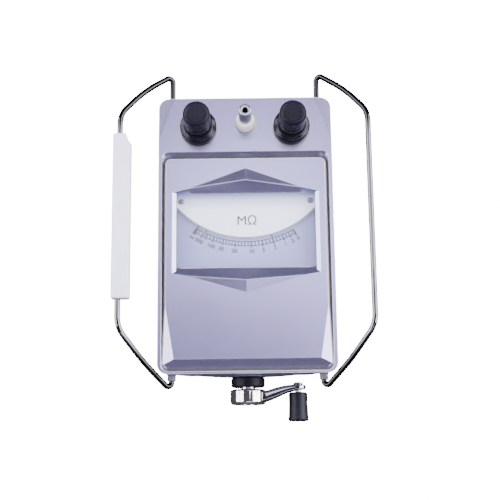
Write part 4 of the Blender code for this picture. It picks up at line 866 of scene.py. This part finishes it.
def make_dial_screws():
    for name in ("dial_screw_left", "dial_screw_right"):
        low, high = node_box(name)
        x, y = (low.x + high.x) / 2, (low.y + high.y) / 2
        head = high.z - 0.7
        profile = bent([(0.0, high.z, 0), (1.7, high.z, 0.5), (2.1, head, 0.1), (1.2, head, 0),
                        (1.2, low.z, 0), (0.0, low.z, 0)])
        screw = lathe(profile, 32, (x, y, 0.0))
        piece = add_piece(name + "_head", screw, "plated_steel", "case", [name], DARK_SCREW)
        slot_cut = bmesh.new()
        prism(slot_cut, [(x - 2.5, y - 0.3), (x + 2.5, y - 0.3), (x + 2.5, y + 0.3),
                         (x - 2.5, y + 0.3)], high.z - 0.4, high.z + 1.0)
        reshape(piece, [("DIFFERENCE", slot_cut)])


# ---------------------------------------------------------------- terminals

def make_terminals():
    for name, letter in (("line", "L"), ("earth", "E")):
        middle = node_middle(name + "_terminal_base")
        place = (middle.x, middle.y, RIM_Z)
        profile = bent([
            (3.3, 8.6, 0), (BASE_RADIUS - 2.8, 8.6, 0.4), (BASE_RADIUS - 1.3, 7.9, 0.8),
            (BASE_RADIUS - 0.9, 5.4, 0.3), (BASE_RADIUS, 4.6, 0.4), (BASE_RADIUS, 0.3, 0.2),
            (3.3, 0.3, 0),
        ])
        add_piece(name + "_base", lathe(profile, 96, place, closed=True), "gloss_black", "case",
                  [name + "_terminal_base"])
        top = node_box(name + "_knob")[1].z - RIM_Z
        body_name = name + "_screw"
        foot = 10.2
        lower = bent([
            (3.3, foot, 0), (KNOB_RADIUS - 1.0, foot, 0.5), (KNOB_RADIUS, foot + 1.6, 0.6),
            (KNOB_RADIUS - 0.1, 16.8, 0.5), (KNOB_RADIUS - 0.9, 17.5, 0.2),
            (KNOB_RADIUS - 0.9, 18.2, 0), (3.3, 18.2, 0),
        ])
        add_piece(name + "_knob_body", lathe(lower, 96, place, closed=True), "gloss_black",
                  body_name, [name + "_knob"])
        upper = bent([
            (3.3, 18.2, 0), (KNOB_RADIUS - 0.6, 18.2, 0.2), (KNOB_RADIUS, 18.9, 0.4),
            (KNOB_RADIUS - 0.15, top - 1.6, 0.8), (KNOB_RADIUS - 1.5, top, 0.5), (7.0, top, 0.2),
            (6.6, top - 0.5, 0.15), (0.0, top - 0.5, 0), (0.0, 25.6, 0), (3.3, 25.6, 0),
        ])
        cap = lathe(upper, 96, place, closed=True)
        add_piece(name + "_knob_cap", cap, "gloss_black", body_name, look=MATTE_BLACK)
        raised = bmesh.new()
        move = Matrix.Translation((place[0], place[1], RIM_Z + top - 0.3))
        lettering(raised, letter, KNOB_LETTER_SIZE, 0.5, move)
        ring = lathe(bent([(5.6, top - 0.6, 0), (5.6, top - 0.15, 0.1), (5.1, top - 0.15, 0.1),
                           (5.1, top - 0.6, 0)], 3), 72, place, closed=True)
        ring_mesh = bpy.data.meshes.new("ring")
        ring.to_mesh(ring_mesh)
        ring.free()
        raised.from_mesh(ring_mesh)
        bpy.data.meshes.remove(ring_mesh)
        add_piece(name + "_knob_letter", raised, "gloss_black", body_name, look=MATTE_BLACK)

    middle = node_middle("guard_insulator")
    place = (middle.x, middle.y, RIM_Z)
    sleeve = bent([
        (3.3, 0.3, 0), (6.9, 0.3, 0.2), (7.0, 2.6, 1.0), (6.5, 6.6, 2.0), (5.6, 8.9, 1.2),
        (4.4, 9.0, 0.2), (3.3, 9.0, 0),
    ], 8)
    add_piece("insulator", lathe(sleeve, 96, place, closed=True), "porcelain", "case",
              ["guard_insulator"])
    top = node_box("guard_post")[1].z - RIM_Z
    foot = node_box("guard_post")[0].z - RIM_Z
    post = bent([
        (0.0, foot, 0), (3.0, foot, 0), (3.0, 9.3, 0), (4.0, 9.3, 0.2), (4.35, 9.8, 0.3),
        (4.35, top - 0.8, 0.5), (3.9, top, 0.4), (2.0, top, 0.3), (1.9, top - 2.0, 0),
        (1.9, top - 14.0, 0), (0.0, top - 14.0, 0),
    ], 8)
    add_piece("guard_socket", lathe(post, 96, place), "plated_steel", "case", ["guard_post"],
              SHADED_NICKEL)
    # A black sleeve inside the socket's bore: painted shade for the deep hole.
    lining = [(1.88, top - 0.4), (1.88, top - 13.9), (0.0, top - 13.9), (0.0, top - 13.6),
              (1.7, top - 13.6), (1.7, top - 0.4)]
    add_piece("guard_bore_shade", lathe(lining, 48, place, closed=True), "gloss_black", "case",
              look=MATTE_BLACK)


# ---------------------------------------------------------------- crank

def make_crank():
    place = (CRANK_X, 0.0, CRANK_Z)
    low, high = node_box("crank_collar")
    collar = bent([
        (5.2, high.y, 0), (11.5, high.y, 0.3), (11.9, high.y - 0.6, 0.4), (11.9, low.y + 0.8, 0.4),
        (11.2, low.y, 0.4), (5.2, low.y, 0),
    ], 8)
    add_piece("collar", lathe(collar, 96, place, True, True), "gloss_black", "case",
              ["crank_collar"], MATTE_BLACK)

    hub = bent([
        (0.0, HUB_FAR_Y, 0), (11.2, HUB_FAR_Y, 0.3), (HUB_RADIUS, HUB_FAR_Y - 0.9, 0.9),
        (HUB_RADIUS, HUB_FAR_Y - 5.0, 1.0), (HUB_RADIUS, HUB_NEAR_Y + 1.5, 1.2),
        (11.5, HUB_NEAR_Y + 0.1, 0.9), (7.0, HUB_NEAR_Y, 0.3), (5.3, HUB_NEAR_Y, 0.3),
        (5.2, HUB_NEAR_Y + 2.6, 0), (0.0, HUB_NEAR_Y + 2.6, 0),
    ], 10)
    add_piece("crank_hub", lathe(hub, 128, place, True), "chrome_plate", "crank", ["crank_arm"])
    make_arm()

    pin = node_middle("grip_pin")
    pin_place = (pin.x, 0.0, pin.z)
    pin_high = node_box("grip_pin")[1].y
    head = bent([
        (0.0, pin_high, 0), (2.2, pin_high, 0.5), (3.2, pin_high - 0.8, 0.4), (3.3, pin_high - 1.6, 0),
        (2.0, pin_high - 1.6, 0), (2.0, PIN_FOOT_Y, 0), (0.0, PIN_FOOT_Y, 0),
    ])
    add_piece("pin", lathe(head, 64, pin_place, True), "chrome_plate", "crank", ["grip_pin"],
              SHADED_ARM_CHROME)

    grip_low, grip_high = node_box("crank_grip")
    start, end = grip_high.y, grip_low.y
    grip = bent([
        (2.3, start, 0), (5.6, start, 0.2), (6.7, start - 0.9, 0.8), (6.55, start - 7.0, 2.0),
        (6.9, end + 4.2, 2.0), (7.2, end + 2.2, 0.3), (7.2, end + 0.9, 0.6), (6.3, end, 0.5),
        (0.0, end, 0), (0.0, PIN_FOOT_Y - 0.6, 0), (2.3, PIN_FOOT_Y - 0.6, 0),
    ], 8)
    add_piece("grip", lathe(grip, 96, pin_place, True, True), "gloss_black", "grip",
              ["crank_grip"], MATTE_BLACK)


def make_arm():
    """The arm: rounded sections along X that narrow and step back towards the case."""
    stations = [                       # distance along the arm, far face, near face, half width
        (6.0, HUB_FAR_Y - 1.2, HUB_NEAR_Y + 1.2, 8.0),
        (11.0, HUB_FAR_Y - 1.2, HUB_NEAR_Y + 1.4, 7.9),
        (14.0, HUB_FAR_Y - 0.6, HUB_NEAR_Y + 2.4, 7.7),
        (18.0, -102.4, -110.2, 7.2),
        (22.0, -101.3, -108.3, 6.8),
        (26.0, -100.6, -106.5, 6.4),
        (30.0, -100.1, -105.0, 6.0),
        (34.0, -99.9, -104.2, 5.6),
        (CRANK_RADIUS + 2.0, -99.9, -103.7, 5.1),
        (CRANK_RADIUS + 4.0, -100.0, -103.5, 3.9),
        (CRANK_RADIUS + 5.2, -100.3, -103.3, 2.3),
        (CRANK_RADIUS + 5.7, -100.8, -102.9, 0.9),
    ]
    rings = []
    count = 32
    squareness = 0.42                  # 1 gives an ellipse, and 0 a rectangle
    for along, far, near, width in stations:
        middle, depth = (far + near) / 2, (far - near) / 2
        ring = []
        for i in range(count):
            angle = 2 * pi * i / count
            across = abs(cos(angle)) ** squareness * (1 if cos(angle) > 0 else -1)
            thick = abs(sin(angle)) ** squareness * (1 if sin(angle) > 0 else -1)
            ring.append((CRANK_X + along, middle + depth * thick, CRANK_Z + width * across))
        rings.append(ring)
    arm = add_piece("crank_web", loft(rings), "chrome_plate", "crank", look=SHADED_ARM_CHROME)
    smooth = arm.modifiers.new("smooth", "SUBSURF")
    smooth.levels = smooth.render_levels = 1


# ---------------------------------------------------------------- feet and bushes

def make_feet():
    for corner in CORNERS:
        name = corner + "_foot"
        middle = node_middle(name)
        high = node_box(name)[1].z
        profile = bent([
            (4.6, 0.0, 0.3), (7.9, 0.0, 0.7), (9.0, 3.4, 0.4), (8.9, 4.0, 0.4), (7.8, high, 0),
            (4.6, high, 0),
        ])
        pad = lathe([(4.6, 0.6)] + profile[1:], 72, (middle.x, middle.y, 0), closed=True)
        add_piece(name + "_pad", pad, "rubber", "case", [name])


def make_bushes():
    for corner in CORNERS:
        name = corner + "_bail_bush"
        low, high = node_box(name)
        outer, inner = (high.y, low.y) if high.y > 0 else (low.y, high.y)
        toward = 1.0 if outer > 0 else -1.0
        profile = bent([
            (2.35, outer, 0), (2.9, outer, 0.3), (2.85, outer - 3.4 * toward, 0.4),
            (3.4, outer - 4.2 * toward, 0.3), (3.4, inner, 0), (2.35, inner, 0),
        ])
        place = ((low.x + high.x) / 2, 0.0, (low.z + high.z) / 2)
        add_piece(name + "_ring", lathe(profile, 48, place, True, True), "nylon", "case", [name])


# ---------------------------------------------------------------- handles

def bail_points(steps=16):
    """The wire's centre line in the handle's own plane: distance along Y, and out from the pins."""
    points = []
    for i, (y, out, radius) in enumerate(BAIL_CORNERS):
        here = Vector((y, out))
        if radius == 0:
            points.append(here)
            continue
        into = (here - Vector(BAIL_CORNERS[i - 1][:2])).normalized()
        away = (Vector(BAIL_CORNERS[i + 1][:2]) - here).normalized()
        turn = into.angle_signed(away)
        start = here - into * radius * tan(abs(turn) / 2)
        side = -1.0 if turn > 0 else 1.0
        centre = start + Vector((-into.y, into.x)) * radius * side
        spoke = start - centre
        for k in range(steps + 1):
            swing = -turn * k / steps
            points.append(centre + Matrix.Rotation(swing, 2) @ spoke)
    return points


def make_wire(name, side, lean, body):
    """A round wire along the handle's path, leaning outwards by lean degrees."""
    count = 28
    path = []
    for point in bail_points():
        out = Matrix.Rotation(radians(side * lean), 3, "Y") @ Vector((0.0, 0.0, point.y))
        path.append(Vector((side * BAIL_PIVOT_X, point.x, BAIL_PIVOT_Z)) + out)
    normal = Matrix.Rotation(radians(side * lean), 3, "Y") @ Vector((1.0, 0.0, 0.0))
    rings = []
    for i, here in enumerate(path):
        before = path[max(0, i - 1)]
        after = path[min(len(path) - 1, i + 1)]
        along = ((here - before).normalized() + (after - here).normalized()).normalized()
        across = along.cross(normal)
        stretch = 1.0
        if 0 < i < len(path) - 1:
            stretch = 1.0 / max(0.5, along.dot((after - here).normalized()))
        ring = []
        for k in range(count):
            angle = 2 * pi * k / count
            ring.append(here + normal * BAIL_WIRE * cos(angle)
                        + across * BAIL_WIRE * sin(angle) * stretch)
        rings.append(ring)
    add_piece(name + "_wire", loft(rings), "chrome_plate", body, [name], SHADED_HANDLE_CHROME)


def make_sleeve():
    """The white hand sleeve on the left wire: a rounded bar with a chamfered far corner."""
    low, high = node_box("left_bail_grip")
    corner = 2.0
    section = []
    for cx, cz, start in (
        (high.x - corner, high.z - corner, 0), (low.x + corner, high.z - corner, 90),
        (low.x + corner, low.z + corner, 180), (high.x - corner, low.z + corner, 270),
    ):
        section += arc((cx, cz), corner, start, start + 90, 6)
    middle_x, middle_z = (low.x + high.x) / 2, (low.z + high.z) / 2
    rings = []
    for y, shrink in ((low.y, 0.9), (low.y + 0.25, 0.35), (low.y + 0.9, 0.0), (high.y - 0.9, 0.0),
                      (high.y - 0.25, 0.35), (high.y, 0.9)):
        scale_x = 1.0 - shrink / (high.x - middle_x)
        scale_z = 1.0 - shrink / (high.z - middle_z)
        rings.append([(middle_x + (x - middle_x) * scale_x, y, middle_z + (z - middle_z) * scale_z)
                      for x, z in section])
    sleeve = add_piece("hand_sleeve", loft(rings), "white_plastic", "left_handle",
                       ["left_bail_grip"], angle=40)
    wedge = bmesh.new()
    prism(wedge, [(high.x - 3.4, high.y + 1.0), (high.x - 3.4, high.y - 0.6),
                  (high.x - 0.9, high.y - 6.6), (high.x + 2.0, high.y - 8.2),
                  (high.x + 2.0, high.y + 1.0)], low.z - 5.0, high.z + 5.0)
    reshape(sleeve, [("DIFFERENCE", wedge)])
    rounding = sleeve.modifiers.new("rounding", "BEVEL")
    rounding.width = 0.5 * MM
    rounding.segments = 3
    rounding.limit_method = "ANGLE"
    rounding.angle_limit = radians(35)


# ---------------------------------------------------------------- stage

FLOOR_GLOW = 15.0


def make_floor():
    bm = bmesh.new()
    bmesh.ops.create_grid(bm, x_segments=1, y_segments=1, size=4.0)
    mesh = bpy.data.meshes.new("floor")
    bm.to_mesh(mesh)
    bm.free()
    floor = bpy.data.objects.new("floor", mesh)
    bpy.context.scene.collection.objects.link(floor)
    made, tree, shader = new_material("pale_floor")
    tone = mix(tree, spread(tree, noise(tree, 8.0), 0.0, 1.0), (0.93, 0.93, 0.93), (0.96, 0.96, 0.96))
    set_inputs(tree, shader, Base_Color=tone, Roughness=0.7, Specular_IOR_Level=0.1,
               Emission_Color=(1.0, 1.0, 1.0, 1.0), Emission_Strength=FLOOR_GLOW)
    mesh.materials.append(made)
    floor.visible_glossy = False
    floor.visible_diffuse = False


LIGHT_TARGET = Vector((0.0, 0.0, 0.11))


def add_area_light(name, location, size, radiance, colour=(1.0, 1.0, 1.0)):
    """A softbox: its power is what gives its face the stated radiance."""
    light = bpy.data.lights.new(name, "AREA")
    light.shape = "RECTANGLE"
    light.size, light.size_y = size
    light.energy = radiance * pi * size[0] * size[1]
    light.color = colour
    lamp = bpy.data.objects.new(name, light)
    lamp.location = location
    lamp.rotation_euler = (LIGHT_TARGET - Vector(location)).to_track_quat("-Z", "Y").to_euler()
    bpy.context.scene.collection.objects.link(lamp)
    return lamp


OVERHEAD_TINT = (0.84, 0.83, 1.0)
FILL_TINT = (0.80, 0.83, 1.0)


def make_lights():
    add_area_light("left_softbox", (-0.96, 0.15, 0.72), (1.4, 1.1), 9.0)
    add_area_light("right_softbox", (0.96, 0.15, 0.72), (1.4, 1.1), 11.5)
    add_area_light("overhead", (0.0, 0.335, 1.28), (0.34, 0.30), 6.8, OVERHEAD_TINT)
    add_area_light("right_overhead", (0.27, 0.15, 1.28), (0.30, 0.28), 4.5, OVERHEAD_TINT)
    add_area_light("near_overhead", (0.17, -0.70, 1.05), (0.84, 0.16), 5.0, OVERHEAD_TINT)
    add_area_light("front_fill", (0.0, -1.20, 0.36), (1.6, 0.20), 0.6, FILL_TINT)
    fill = add_area_light("matt_fill", (0.0, 0.0, 1.6), (1.2, 1.2), 3.0, FILL_TINT)
    fill.visible_glossy = False
    world = bpy.data.worlds.new("studio")
    world.use_nodes = True
    world.node_tree.nodes["Background"].inputs["Color"].default_value = (0.90, 0.92, 1.0, 1.0)
    world.node_tree.nodes["Background"].inputs["Strength"].default_value = 0.10
    bpy.context.scene.world = world


CAMERA_TILT = 12.1
CAMERA_ROLL = -0.7
CAMERA_DISTANCE = 665.0
CAMERA_AIM = Vector((2.5, -12.9))      # the point on the rim's plane that the camera looks at
CAMERA_LENS = 70.8


def make_camera():
    tilt = radians(CAMERA_TILT)
    eye = Vector((CAMERA_AIM.x, CAMERA_AIM.y - CAMERA_DISTANCE * sin(tilt),
                  RIM_Z + CAMERA_DISTANCE * cos(tilt)))
    data = bpy.data.cameras.new("camera")
    data.sensor_width = 36.0
    data.lens = CAMERA_LENS
    data.clip_start = 0.01
    camera = bpy.data.objects.new("camera", data)
    camera.matrix_world = (Matrix.Translation(ORIGIN + eye * MM) @ Matrix.Rotation(tilt, 4, "X")
                           @ Matrix.Rotation(radians(CAMERA_ROLL), 4, "Z"))
    bpy.context.scene.collection.objects.link(camera)
    bpy.context.scene.camera = camera


make_camera()
make_cover()
make_case()
make_dial_print()
make_mask()
make_pointer()
make_dial_screws()
make_terminals()
make_crank()
make_feet()
make_bushes()
make_wire("left_bail", -1, LEFT_LEAN, "left_handle")
make_wire("right_bail", 1, RIGHT_LEAN, "right_handle")
make_sleeve()
make_floor()
make_lights()
